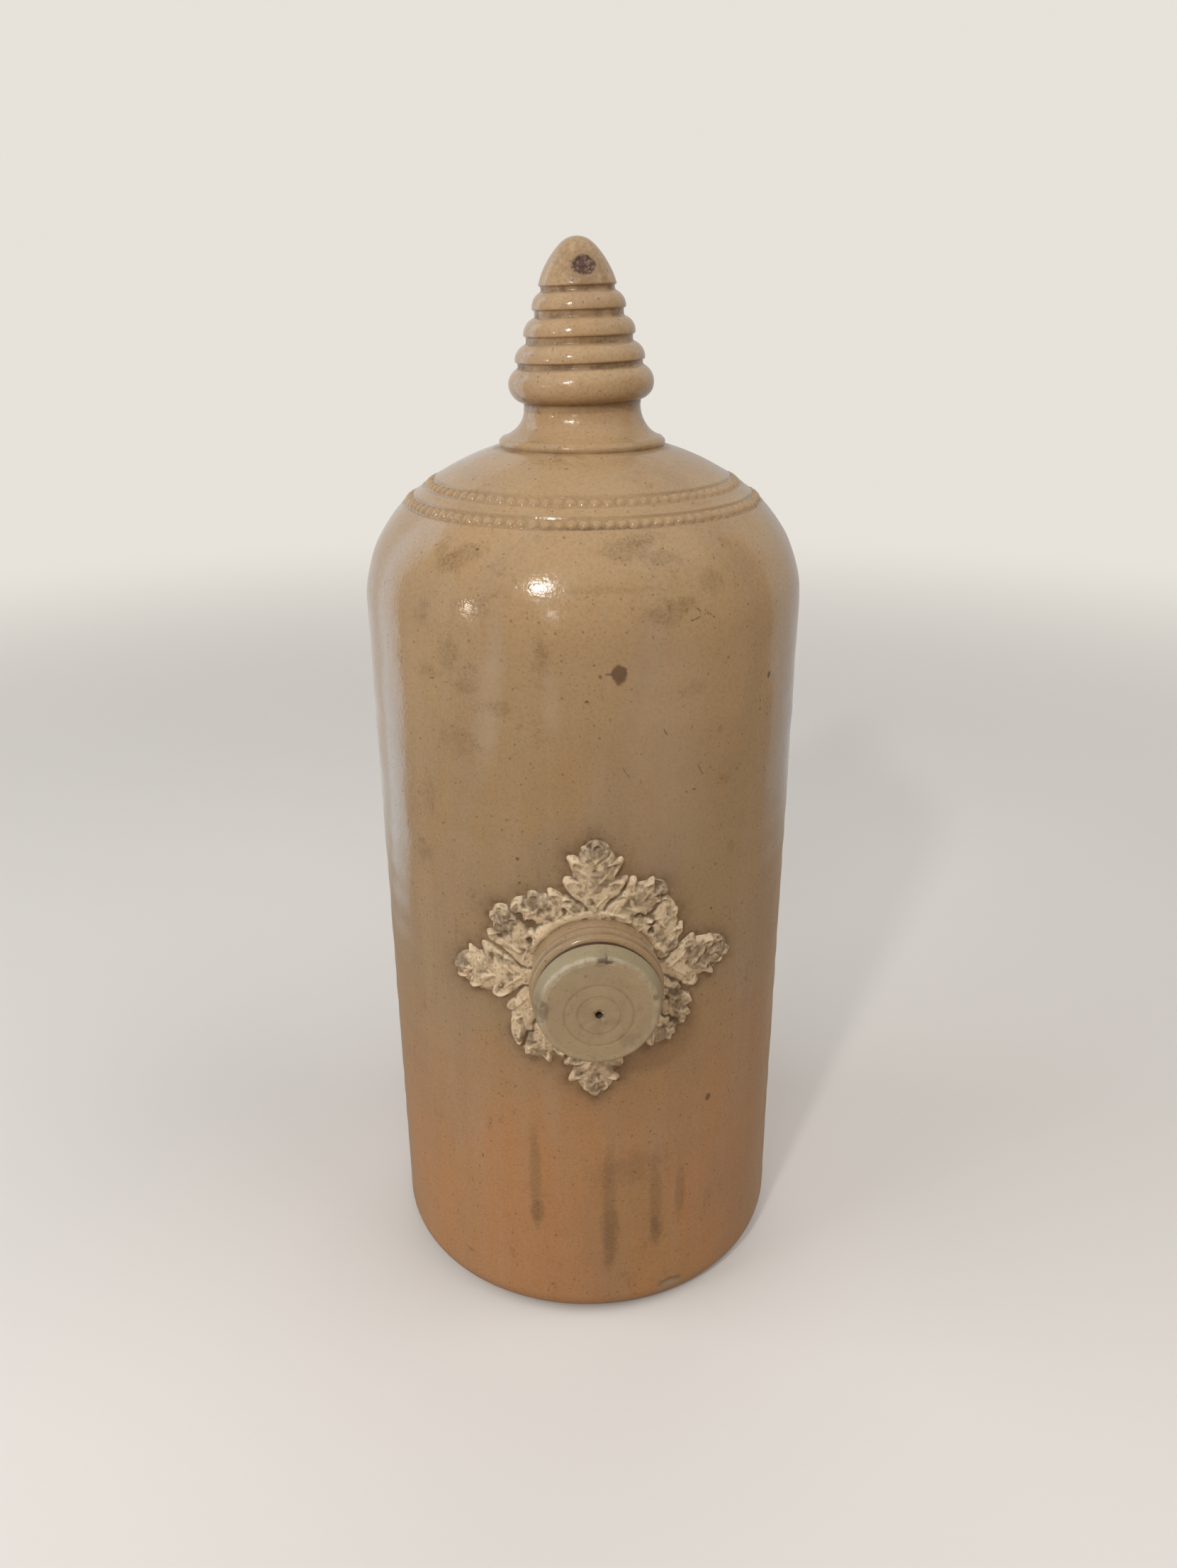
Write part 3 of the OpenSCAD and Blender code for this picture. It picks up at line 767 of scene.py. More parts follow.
# Hairlines in the glaze: where (turn, height) each starts and ends.
HAIRS = (
    ((-34.0, 67.5), (-30.5, 61.5)), ((-36.0, 50.5), (-33.5, 48.0)), ((9.0, 66.0), (13.0, 63.5)),
    ((28.5, 104.0), (30.0, 98.0)),
    ((-13.0, 190.0), (-9.0, 192.5)), ((22.0, 204.0), (27.0, 206.0)), ((12.0, 232.0), (14.5, 226.0)),
    ((-49.0, 214.0), (-45.0, 207.0)),
    ((24.0, 262.0), (31.0, 258.0)), ((22.0, 257.5), (29.0, 261.5)), ((13.5, 257.5), (18.5, 255.2)),
    ((20.5, 234.4), (23.0, 234.9)),
    ((15.5, 227.2), (17.2, 225.0)), ((26.5, 213.0), (28.5, 208.2)), ((7.0, 215.0), (8.3, 212.4)),
    ((-43.0, 239.6), (-35.5, 237.6)),
    ((58.0, 172.0), (63.0, 170.4)), ((-55.0, 243.4), (-52.5, 239.0)), ((-55.0, 186.0), (-54.0, 180.0)),
    ((-56.0, 165.4), (-54.4, 160.0)),
)


# Dirt on the stopper's face: x and height from its middle, reach across and up in
# millimetres, raggedness and strength.
STOPPER_MARKS = (
    (1.8, 17.3, 2.6, 0.34, 0.7, 0.85), (2.2, 17.5, 0.5, 1.3, 0.8, 0.8), (0.9, 17.9, 1.4, 0.4, 0.9, 0.7),
    (2.9, 16.8, 1.1, 0.3, 0.8, 0.7), (1.4, 17.4, 2.4, 1.5, 1.6, 0.35), (-17.2, 0.2, 2.2, 3.0, 1.6, 0.45),
    (-18.0, 3.4, 1.2, 2.2, 1.4, 0.35), (17.0, 4.5, 0.8, 0.9, 1.0, 0.5), (-4.0, 12.5, 0.6, 0.5, 1.0, 0.4),
    (9.0, -10.0, 3.2, 2.4, 1.8, 0.22), (0.0, -1.4, 1.9, 1.7, 1.2, 0.55),
)

# Patches in the glaze, grey, amber and pale: scale, upright stretch, where the noise is cut,
# strength and colour.
GLAZE_CLOUDS = (
    (26.0, 0.35, 0.42, 0.68, 0.42, (0.32, 0.225, 0.15)),
    (38.0, 0.5, 0.48, 0.72, 0.42, (0.42, 0.25, 0.10)),
    (85.0, 0.10, 0.45, 0.70, 0.30, (0.43, 0.315, 0.205)),
)
FINIAL_TONE = (0.52, 0.358, 0.205)

# The knock on the finial's tip: its middle, and how far it reaches along the three axes.
CHIP = (0.0006, -0.0106, 0.3537)
CHIP_REACH = (0.0036, 0.0060, 0.0028)


def salt_glaze(finish, body):
    """Buff salt glaze: paler shoulder, warmer foot, mottling, specks, stains and dirt."""
    material, tree, shader, place = started("salt_glaze")
    height = add(tree, "ShaderNodeSeparateXYZ", Vector=place).outputs[2]
    height = times(tree, height, times(tree, noise(tree, place, 14.0, 3.0), 0.09), "ADD")
    tone = blend(tree, ranged(tree, height, 0.10, 0.19), finish.glaze_warm, finish.glaze_mid)
    tone = blend(tree, ranged(tree, height, 0.24, 0.335), tone, finish.glaze_pale)
    tone = blend(tree, ranged(tree, height, 0.345, 0.375), tone, FINIAL_TONE)
    for scale, stretch, low, high, share, tint in GLAZE_CLOUDS:
        patch = cloud(tree, place, Scale=scale, Stretch=(1, 1, stretch), Low=low, High=high)
        tone = tinted(tree, tone, patch, share, tint)
    grain = ranged(tree, noise(tree, place, 900.0, 3.0), 0.35, 0.75)
    tone = tinted(tree, tone, grain, 0.20, (0.21, 0.13, 0.065))
    smear = cloud(tree, place, Scale=75.0, Stretch=(1, 1, 0.7), Low=0.56, High=0.74)
    smear = times(tree, smear, cloud(tree, place, Scale=480.0, Low=0.42, High=0.62))
    tone = tinted(tree, tone, smear, 0.42, (0.13, 0.075, 0.028))
    fleck = ranged(tree, noise(tree, place, 1500.0, 2.0, 0.6), 0.60, 0.72)
    tone = tinted(tree, tone, fleck, 0.45, (0.15, 0.09, 0.045))
    tone = tinted(
        tree, tone, iron_specks(tree, place, Scale=640.0, Size=0.34, Rarity=8.0), 0.42, (0.12, 0.068, 0.03)
    )
    tone = tinted(
        tree, tone, iron_specks(tree, place, Scale=210.0, Size=0.11, Rarity=36.0), 0.7, finish.stain
    )
    tone = marked(tree, place, tone, finish, body)

    # The knock on the tip: a dark rough hollow with a soiled edge
    reach = tuple(2.1 * c for c in CHIP_REACH)
    round_chip = placed_mark(tree, place, Centre=CHIP, Reach=reach, Ragged=1.6, Grain=520.0, Soft=0.4)
    tone = tinted(tree, tone, round_chip, 0.4, (0.19, 0.12, 0.06))
    # Grime and painted shade: the shadow under the finial's foot, the shade between the beads, darker channel
    # edges and a halo round the leaves
    dirt_and_shade = dirt_and_shade_in_hollows(tree, place, Hollow=layer(tree, "hollow"), Scale=650.0, Amount=1.0)
    tone = tinted(tree, tone, dirt_and_shade, 0.88, finish.dirt_and_shade)
    flecks = iron_specks(tree, place, Scale=900.0, Size=0.8, Rarity=2.0)
    inside = tinted(tree, (0.115, 0.062, 0.045), flecks, 0.45, (0.36, 0.25, 0.18))
    chip = placed_mark(tree, place, Centre=CHIP, Reach=CHIP_REACH, Ragged=0.35, Grain=700.0, Soft=0.12)
    tone = blend(tree, chip, tone, inside)

    rough = ranged(tree, cloud(tree, place, Scale=60.0, Low=0.35, High=0.75), 0, 1, 0.11, 0.24, "LINEAR")
    dull = times(tree, times(tree, dirt_and_shade, 0.35), times(tree, chip, 0.4), "ADD")
    skin = bumped(tree, orange_peel(tree, place, Scale=500.0), 0.22, 0.0006)
    rubble = times(tree, noise(tree, place, 1100.0, 4.0), chip)
    finished(
        tree, shader, tone, times(tree, rough, dull, "ADD", True),
        bumped(tree, rubble, 0.9, 0.0008, Normal=skin),
    )
    shader.inputs["IOR"].default_value = 1.5
    shader.inputs["Coat Weight"].default_value = 0.22
    shader.inputs["Coat Roughness"].default_value = 0.05
    return material


def marked(tree, place, tone, finish, body):
    """The glaze's tone with its marks and hairlines laid on, each at its place on the wall."""
    line = body_line(body)[0]
    rise = line[line[:, 0] > body.radius * 0.3]

    def on_wall(turn, up):
        radius, a = float(np.interp(up * MM, rise[:, 1], rise[:, 0])), math.radians(turn)
        return radius * math.sin(a), -radius * math.cos(a), up * MM

    # Grain of the ragged edge, softness, how broken up, strength and colour of each kind
    kinds = {
        "S": (420.0, 0.22, 0.0, 1.0, finish.stain),
        "D": (300.0, 0.65, 0.60, 0.84, (0.150, 0.088, 0.030)),
        "R": (300.0, 0.5, 0.35, 1.0, (0.14, 0.085, 0.038)),
        "P": (120.0, 0.75, 0.0, 1.0, (0.46, 0.355, 0.245)),
    }
    for turn, up, wide, tall, ragged, strength, kind in MARKS:
        grain, soft, broken, full, tint = kinds[kind]
        edge = {"Ragged": ragged, "Grain": grain, "Soft": soft, "Broken": broken}
        mask = placed_mark(
            tree, place, Centre=on_wall(turn, up), Reach=(wide * MM, wide * MM, tall * MM), **edge
        )
        tone = tinted(tree, tone, mask, strength * full, tint)
    for start, end in HAIRS:
        mask = hairline(tree, place, Start=on_wall(*start), End=on_wall(*end))
        tone = tinted(tree, tone, mask, 0.70, (0.13, 0.08, 0.045))
    return tone


def white_clay(finish):
    """White sprigging clay under a thin glaze: cream ridges and brown dirt in every crease."""
    material, tree, shader, place = started("white_clay")
    patch = cloud(tree, place, Scale=160.0, Low=0.35, High=0.7)
    tone = tinted(tree, finish.white_clay, patch, 0.40, (0.52, 0.42, 0.28))
    crust = ranged(tree, cloud(tree, place, Scale=420.0, Low=0.30, High=0.62), 0, 1, 0.68, 1.0, "LINEAR")
    tone = tinted(tree, tone, times(tree, layer(tree, "soiled"), crust), 0.94, (0.180, 0.124, 0.076))
    tone = tinted(
        tree, tone, iron_specks(tree, place, Scale=950.0, Size=0.65, Rarity=2.6), 0.42, (0.17, 0.115, 0.065)
    )
    # Darker in the creases, with a painted deep shadow in the holes
    dirt_and_shade = dirt_and_shade_in_hollows(tree, place, Hollow=layer(tree, "hollow"), Scale=800.0, Amount=1.1)
    tone = tinted(tree, tone, dirt_and_shade, 0.85, (0.155, 0.105, 0.06))
    rough = ranged(tree, dirt_and_shade, 0, 1, 0.42, 0.8, "LINEAR")
    finished(tree, shader, tone, rough, bumped(tree, noise(tree, place, 900.0, 5.0, 0.6), 0.55, 0.0005))
    shader.inputs["Coat Weight"].default_value = 0.12
    shader.inputs["Coat Roughness"].default_value = 0.25
    return material


def stopper_clay(finish, spout, stopper):
    """Matt greyish stoneware: cleaner side, browner worn face, pale rubbed rim, dark dirt."""
    material, tree, shader, place = started("stopper_clay")
    tone = blend(tree, layer(tree, "side"), finish.stopper_face, finish.stopper_side)
    patch = cloud(tree, place, Scale=95.0, Low=0.35, High=0.75)
    tone = tinted(tree, tone, patch, 0.38, (0.30, 0.235, 0.15))
    tone = tinted(tree, tone, cloud(tree, place, Scale=60.0, Low=0.5, High=0.7), 0.25, (0.38, 0.35, 0.22))
    # Pale rim: wear and a painted highlight, strongest on the upper left
    rub = times(tree, layer(tree, "worn_and_highlit"), cloud(tree, place, Scale=420.0, Low=0.3, High=0.6))
    tone = tinted(tree, tone, rub, 0.6, (0.56, 0.50, 0.38))
    fine = ranged(tree, noise(tree, place, 1100.0, 3.0, 0.7), 0.56, 0.72)
    tone = tinted(tree, tone, fine, 0.5, (0.20, 0.15, 0.095))
    front = body_front() + spout.collar_length + stopper.washer + stopper.thickness
    for x, up, wide, tall, ragged, strength in STOPPER_MARKS:
        centre = (x * MM, 0.002 - front, spout.height + up * MM)
        edge = {"Reach": (wide * MM, 0.008, tall * MM), "Ragged": ragged, "Grain": 380.0, "Soft": 0.5}
        tone = tinted(
            tree, tone, placed_mark(tree, place, Centre=centre, **edge), strength, (0.11, 0.08, 0.055)
        )
    # Grime, and painted shade in the small hole
    dirt_and_shade = dirt_and_shade_in_hollows(tree, place, Hollow=layer(tree, "hollow"), Scale=500.0, Amount=1.0)
    tone = tinted(tree, tone, dirt_and_shade, 0.9, (0.05, 0.035, 0.022))
    rough = ranged(tree, patch, 0, 1, 0.44, 0.62, "LINEAR")
    finished(tree, shader, tone, rough, bumped(tree, orange_peel(tree, place, Scale=700.0), 0.22, 0.0004))
    return material


def old_rubber(finish):
    """Perished rubber: dark red-brown with a grey bloom and fine cracks."""
    material, tree, shader, place = started("old_rubber")
    bloom = cloud(tree, place, Scale=240.0, Low=0.4, High=0.75)
    tone = tinted(tree, finish.rubber, bloom, 0.5, (0.16, 0.12, 0.095))
    rough = ranged(tree, bloom, 0, 1, 0.55, 0.85, "LINEAR")
    cells = add(tree, "ShaderNodeTexVoronoi", {"feature": "DISTANCE_TO_EDGE"}, Vector=place, Scale=900.0)
    cracks = ranged(tree, cells.outputs["Distance"], 0.0, 0.12)
    finished(tree, shader, tone, rough, bumped(tree, cracks, 0.5, 0.0003))
    return material


def bare_clay(finish):
    """Unglazed clay of the base and the water space: rough, sandy and scuffed."""
    material, tree, shader, place = started("bare_clay")
    patch = cloud(tree, place, Scale=45.0, Low=0.35, High=0.75)
    tone = tinted(tree, finish.bare_clay, patch, 0.5, (0.24, 0.16, 0.10))
    tone = tinted(
        tree, tone, iron_specks(tree, place, Scale=600.0, Size=0.6, Rarity=3.0), 0.5, (0.12, 0.075, 0.045)
    )
    rough = ranged(tree, patch, 0, 1, 0.62, 0.85, "LINEAR")
    finished(tree, shader, tone, rough, bumped(tree, orange_peel(tree, place, Scale=900.0), 0.4, 0.0005))
    return material


MATERIALS = {}


def body_front():
    return bpy.context.scene.bottle_body.radius


class MakeFinishes(bpy.types.Operator):
    """Build the shared node groups and the materials of the bottle"""

    bl_idname = "bottle.make_finishes"
    bl_label = "Make Finishes"

    def execute(self, context):
        scene = context.scene
        finish = scene.bottle_finishes
        for make in GROUP_MAKERS.values():
            make()
        MATERIALS.update(
            glaze=salt_glaze(finish, scene.bottle_body), white=white_clay(finish),
            stopper=stopper_clay(finish, scene.bottle_spout, scene.bottle_stopper),
            rubber=old_rubber(finish), bare=bare_clay(finish),
        )
        return {"FINISHED"}


# The body's columns on the front and round the back, the half turn of the front in radians,
# how far the hole in the wall reaches past the mouth, and the height up to which clay is bare.
FRONT_COLUMNS, BACK_COLUMNS, FRONT_TURN = 107, 114, 0.80
HOLE_MARGIN = 0.0026
BARE_BELOW = 0.0003


class MakeBody(bpy.types.Operator):
    """Make the thrown body: outside and water space, joined round the hole for the spout"""

    bl_idname = "bottle.make_body"
    bl_label = "Make Body"

    def execute(self, context):
        s, b, spout = context.scene.bottle_body, context.scene.bottle_beading, context.scene.bottle_spout
        line = body_line(s)[0]
        bands = [band_place(s, b, lower) for lower in (True, False)]

        def spacing(along, p):
            gap = np.full(len(p), 0.0030)
            wall = p[:, 0] > s.radius - 1e-5
            gap[wall & (np.abs(p[:, 1] - spout.height) < 0.051)] = 0.0012
            gap[p[:, 1] > s.shoulder_start] = 0.0021
            gap[(p[:, 0] < 0.024) | ((p[:, 1] < 1e-5) & (p[:, 0] < 0.060))] = 0.006
            gap[(p[:, 1] < s.base_edge) & (p[:, 0] > 0.060)] = 0.0012
            for middle, _ in bands:
                gap[np.hypot(*(p - middle).T) < 0.0033] = 0.00042
            return gap

        rows = spaced(line, spacing)
        out = normals(rows)
        out[0], out[-1] = (0, -1), (0, 1)
        sink = np.zeros(len(rows))
        for middle, _ in bands:
            near = np.hypot(*(rows - middle).T)
            half = b.channel_width / 2
            pressed = b.channel_depth * (1 - smooth(near, half - 0.00025, half + 0.00025))
            sink += pressed - 0.00012 * hump(near, half + 0.0005, 0.0004)
        # Columns stand closer on the front, where the wreath and the spout are
        front = np.linspace(-FRONT_TURN, FRONT_TURN, FRONT_COLUMNS)
        back = np.linspace(FRONT_TURN, 2 * math.pi - FRONT_TURN, BACK_COLUMNS)[1:-1]
        turn = np.concatenate([front, back])[None, :]
        height = rows[:, 1:] + 0 * turn
        gone = smooth(rows[:, :1], 0.0, 0.03) * smooth(height, 0, 0.012)
        radius = rows[:, :1] - (out[:, 0] * sink)[:, None]
        radius = radius + waver(turn, height, s.waver) * gone * (rows[:, :1] > 0.001)
        radius[0] = radius[-1] = 0
        outer = upright(radius, turn, height - (out[:, 1] * sink)[:, None])
        inner_line = rows - out * s.wall
        inner_line[:, 0] = np.maximum(inner_line[:, 0], 0)
        inner_line[0, 0] = inner_line[-1, 0] = 0
        inner = upright(inner_line[:, :1] + 0 * turn, turn, inner_line[:, 1:] + 0 * turn)

        # Darker along the channels' edges and near the base; a painted shadow under the finial's foot; grime
        # and painted shade in a halo round the leaves
        hollow = 0 * height
        for middle, _ in bands:
            near = np.hypot(*(rows - middle).T)[:, None]
            edge = 0.22 * hump(near, b.channel_width / 2 + 0.0001, 0.00035)
            hollow = np.maximum(hollow, edge * (1 + 0.8 * lumps(turn * middle[0], height, 0.009, 7)))
        foot = context.scene.bottle_finial.foot_radius
        painted_foot_shadow = 0.75 * hump(rows[:, :1], foot + 0.0004, 0.0011) * (height > 0.2)
        hollow = np.maximum(hollow, painted_foot_shadow * (0.7 + 0.6 * lumps(turn * foot, height, 0.006, 8)))
        hollow = np.maximum(hollow, 0.35 * hump(height, 0.0015, 0.0025) * (rows[:, :1] > 0.06))
        across = s.radius * (np.mod(turn + math.pi, 2 * math.pi) - math.pi) + 0 * height
        flat = np.stack([across, height - spout.height], -1)
        close = (np.abs(flat[..., 0]) < 0.06) & (np.abs(flat[..., 1]) < 0.056)
        fx, fy, relief, _ = wreath_field(context.scene.bottle_wreath, spout.collar_radius)
        edge = np.stack([fx, fy], -1)[np.abs(relief) < 0.0003][::4]
        near = np.concatenate([
            np.sqrt(((part[:, None] - edge[None]) ** 2).sum(-1)).min(1)
            for part in np.array_split(flat[close], 40)])
        dirt_and_shade_halo = 0.85 * np.exp(-near / 0.0016) + 0.30 * np.exp(-near / 0.005)
        hollow[close] = np.maximum(
            hollow[close], np.clip(dirt_and_shade_halo * (0.85 + 0.45 * lumps(*flat[close].T, 0.005, 9)), 0, 1)
        )

        points, quads, fans, layers = capped(outer, {"hollow": hollow})
        inner_points = capped(inner, {})[0]
        centre = points[quads].mean(1)
        off_axis = np.hypot(centre[:, 0], centre[:, 2] - spout.height)
        kept = (off_axis >= spout.mouth_radius + HOLE_MARGIN) | (centre[:, 1] >= 0)
        quads = quads[kept]
        n = len(points)
        joint = joined_behind((quads, fans), n)
        faces = [quads, quads[:, ::-1] + n, joint, fans, fans[:, ::-1] + n]
        # Bare clay: the flat base, the water space and the joint round the hole
        within = np.ones(len(quads) + len(joint), bool)
        under = np.concatenate([
            centre[kept][:, 2] < BARE_BELOW, within,
            points[fans].mean(1)[:, 2] < BARE_BELOW, np.ones(len(fans), bool)])
        layers["hollow"] = np.concatenate([layers["hollow"], np.zeros(n)])
        clays = [MATERIALS["glaze"], MATERIALS["bare"]]
        body = put("thrown_body", np.concatenate([points, inner_points]), faces, clays, layers, under)
        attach(body, "bottle")
        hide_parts("bottle")
        return {"FINISHED"}


class MakeBeading(bpy.types.Operator):
    """Roll the two bands of beads round the shoulder"""

    bl_idname = "bottle.make_beading"
    bl_label = "Make Beading"

    def execute(self, context):
        s, b = context.scene.bottle_body, context.scene.bottle_beading
        for lower, name in ((True, "lower_beads"), (False, "upper_beads")):
            middle, out = band_place(s, b, lower)
            count = round(2 * math.pi * middle[0] / b.bead_pitch)
            turn = turns(count * 10)
            half = b.channel_width / 2 + 0.0001
            v = np.linspace(-half, half, 15)[:, None]
            rng = np.random.default_rng(11 if lower else 12)
            which = np.floor(turn / (2 * math.pi) * count).astype(int) % count
            shift = rng.normal(0, 0.00010, (2, count))
            size = 1 + rng.normal(0, 0.05, count)
            u = (turn / (2 * math.pi) * count - which - 0.5) * b.bead_pitch
            # A bead is a flattened ball: its height is the root of 1 less the square of the
            # distance from its middle
            radius = b.bead_radius * size[which] * (1 if lower else 0.94)
            far = np.hypot(u - shift[0][which], v - shift[1][which]) / radius
            bead = np.sqrt(np.clip(1 - far ** 2, 0, 1)) * b.bead_height * (1.0 if lower else 0.88)
            lift = bead - b.channel_depth + 0.00006
            lift[0] = lift[-1] = -b.channel_depth - 0.0002
            lift = lift + 0.00005 * lumps(turn * middle[0], v, 0.0012, 21)
            along = np.array([-out[1], out[0]])
            r = middle[0] + along[0] * v + out[0] * lift
            z = middle[1] + along[1] * v + out[1] * lift
            r = r + waver(turn, z, s.waver)
            top = upright(r, turn, z)
            bed_r, bed_z = middle[0] - out[0] * 0.0012 + 0 * turn, middle[1] - out[1] * 0.0012 + 0 * turn
            grid = np.concatenate([top, upright(bed_r, turn, bed_z)])
            # Painted shade in every gap between the beads, which outlines each bead, and grime and painted
            # shade darkest at the front in the lower gaps of the lower band
            off = np.mod(turn + math.pi, 2 * math.pi) - math.pi
            gap = np.clip(1.1 - bead / (0.36 * b.bead_height), 0, 1)
            gap = gap * (1 + 0.35 * lumps(turn * middle[0], 0 * v, 0.011, 22))
            low = (
                gap * 0.18
                + lower * gap * hump(v, -half * 0.62, 0.0008) * (0.12 + 0.95 * hump(off, 0.0, 0.24))
            )
            low = np.concatenate([low, np.ones_like(turn)])
            piece = tube(name, grid, "glaze", {"hollow": low})
            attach(piece, "bottle")
        return {"FINISHED"}


def finial_line(s, f):
    """Half outline of foot, neck, rings and tip as (radius, height above the base). Circles
    for the large ring and the rings' upper sides, upright grooves between them, and a tip
    whose side curve and round end share a tangent."""
    crown = body_line(s)[2]
    seat = crown[1] + math.sqrt(s.crown_radius ** 2 - (f.foot_radius - crown[0]) ** 2)
    top = seat + f.foot_step
    waist = top + math.sqrt(f.neck_sweep ** 2 - (f.neck_radius + f.neck_sweep - f.foot_radius) ** 2)
    sweep_centre = (f.neck_radius + f.neck_sweep, waist)
    start = math.atan2(top - waist, f.foot_radius - 0.0006 - sweep_centre[0])
    core, knob = f.knob_radius - f.knob_round, waist + f.knob_height
    low = math.acos((f.neck_radius - core) / f.knob_round)
    neck_top = f.knob_height - f.knob_round * math.sin(low)
    grooves = [f.ring_radius - i * f.ring_step - f.groove for i in range(f.ring_count)] + [
        f.tip_radius - f.groove
    ]
    parts = [
        [[0, seat - 0.003], [f.foot_radius - 0.0008, seat - 0.003], [f.foot_radius - 0.0002, seat + 0.0002]],
        arc((f.foot_radius - 0.0011, seat + 0.0012), 0.0011, 0, math.pi / 2, 16),
        arc(sweep_centre, f.neck_sweep, start % (2 * math.pi), math.pi - math.asin(neck_top / f.neck_sweep)),
        arc((core, knob), f.knob_round, -low, math.acos((grooves[0] - core) / f.knob_round)),
    ]
    for i in range(f.ring_count):
        r, z = f.ring_radius - i * f.ring_step, knob + f.ring_lift + i * f.ring_pitch
        end = math.acos((grooves[i + 1] - r + f.ring_round) / f.ring_round)
        parts.append([[grooves[i], z - f.ring_edge]])
        parts.append(
            arc((r - f.ring_round, z), f.ring_round, -math.asin(f.ring_edge / f.ring_round), end, 30)
        )
    base = z + f.tip_lift
    side = (f.tip_radius - f.tip_curve * math.cos(f.tip_slope), base - f.tip_curve * math.sin(f.tip_slope))
    reach = base + f.tip_height - side[1]
    end_round = (f.tip_curve ** 2 - side[0] ** 2 - reach ** 2) / (2 * (f.tip_curve - reach))
    turn = math.atan2(reach - end_round, -side[0])
    parts.append([[grooves[-1], base]])
    parts.append(arc(side, f.tip_curve, f.tip_slope, turn))
    parts.append(arc((0, base + f.tip_height - end_round), end_round, turn, math.pi / 2))
    return np.concatenate([np.array(p, float) for p in parts]), waist, top, seat


class MakeFinial(bpy.types.Operator):
    """Turn the foot, neck and ringed finial, lean it and knock the chip out of its tip"""

    bl_idname = "bottle.make_finial"
    bl_label = "Make Finial"

    def execute(self, context):
        s, f = context.scene.bottle_body, context.scene.bottle_finial
        line, waist, top, seat = finial_line(s, f)
        line = softened(line, 0.00030)
        line[0, 0] = line[-1, 0] = 0

        def spacing(along, p):
            return np.where(p[:, 1] < seat - 0.0025, 0.004, np.where(p[:, 1] < waist, 0.00055, 0.00036))

        rows = spaced(line, spacing)
        turn = turns(168, -math.pi)
        out = normals(rows)
        swirl = 0.00012 * np.sin(3 * turn + rows[:, 1:] / 0.004) * (rows[:, 1:] > waist)
        skin = 0.00008 * lumps(turn * 0.02, rows[:, 1:], 0.004, 31) + swirl
        fade = smooth(rows[:, :1], 0.0, 0.004)
        radius = rows[:, :1] + out[:, :1] * skin * fade
        height = rows[:, 1:] + 0 * turn
        tilt = f.lean * smooth(height, top, waist)
        x, y = radius * np.sin(turn), -radius * np.cos(turn)
        up = height - waist
        leant = x * np.cos(tilt) - up * np.sin(tilt)
        grid = np.stack([leant, y, waist + x * np.sin(tilt) + up * np.cos(tilt)], -1)
        # The knock: a ragged oval pressed in, with a broken floor
        off = (grid - np.array(CHIP)) / np.array(CHIP_REACH)
        far = np.linalg.norm(off, axis=-1) + 0.18 * lumps(grid[..., 0], grid[..., 2], 0.0016, 32)
        knock = (
            (1 - smooth(far, 0.75, 1.15)) * f.chip_depth
            * (1 + 0.35 * lumps(grid[..., 0], grid[..., 2], 0.0009, 33))
        )
        direction = np.stack([-np.sin(turn) + 0 * height, np.cos(turn) + 0 * height, -0.45 + 0 * height], -1)
        grid = grid + direction * knock[..., None]
        level = rows[:, :1] + 0 * turn
        # Darker in the grooves under the rings and under the large ring, and a painted shadow where the foot's
        # step meets the crown
        hollow = np.clip(low_places(level, 4) / 0.00055, 0, 1) * (rows[:, 1:] > waist - 0.001)
        hollow = hollow * (0.8 + 0.55 * lumps(turn * 0.02, height, 0.004, 34))
        hollow = np.maximum(hollow, 0.6 * hump(height, waist + f.knob_height - f.knob_round + 0.0003, 0.0012))
        painted_foot_shadow = 0.85 * hump(height, seat + 0.0001, 0.0006)
        hollow = np.maximum(hollow, painted_foot_shadow * (0.7 + 0.5 * lumps(turn * 0.02, height, 0.005, 35)))
        points, quads, fans, layers = capped(grid, {"hollow": hollow * (radius > 0.004)})
        piece = put("finial", points, [quads, fans], [MATERIALS["glaze"]], layers)
        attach(piece, "bottle")
        return {"FINISHED"}


def rounded_thread(out, turn, pitch):
    """Share of a rounded right-hand thread: 0 in the root and 1 on the crest, repeating once a
    pitch and moving out by one pitch as it turns against the clock seen from the front."""
    phase = out / pitch - turn / (2 * math.pi)
    return 0.5 + 0.5 * np.cos(2 * math.pi * phase)


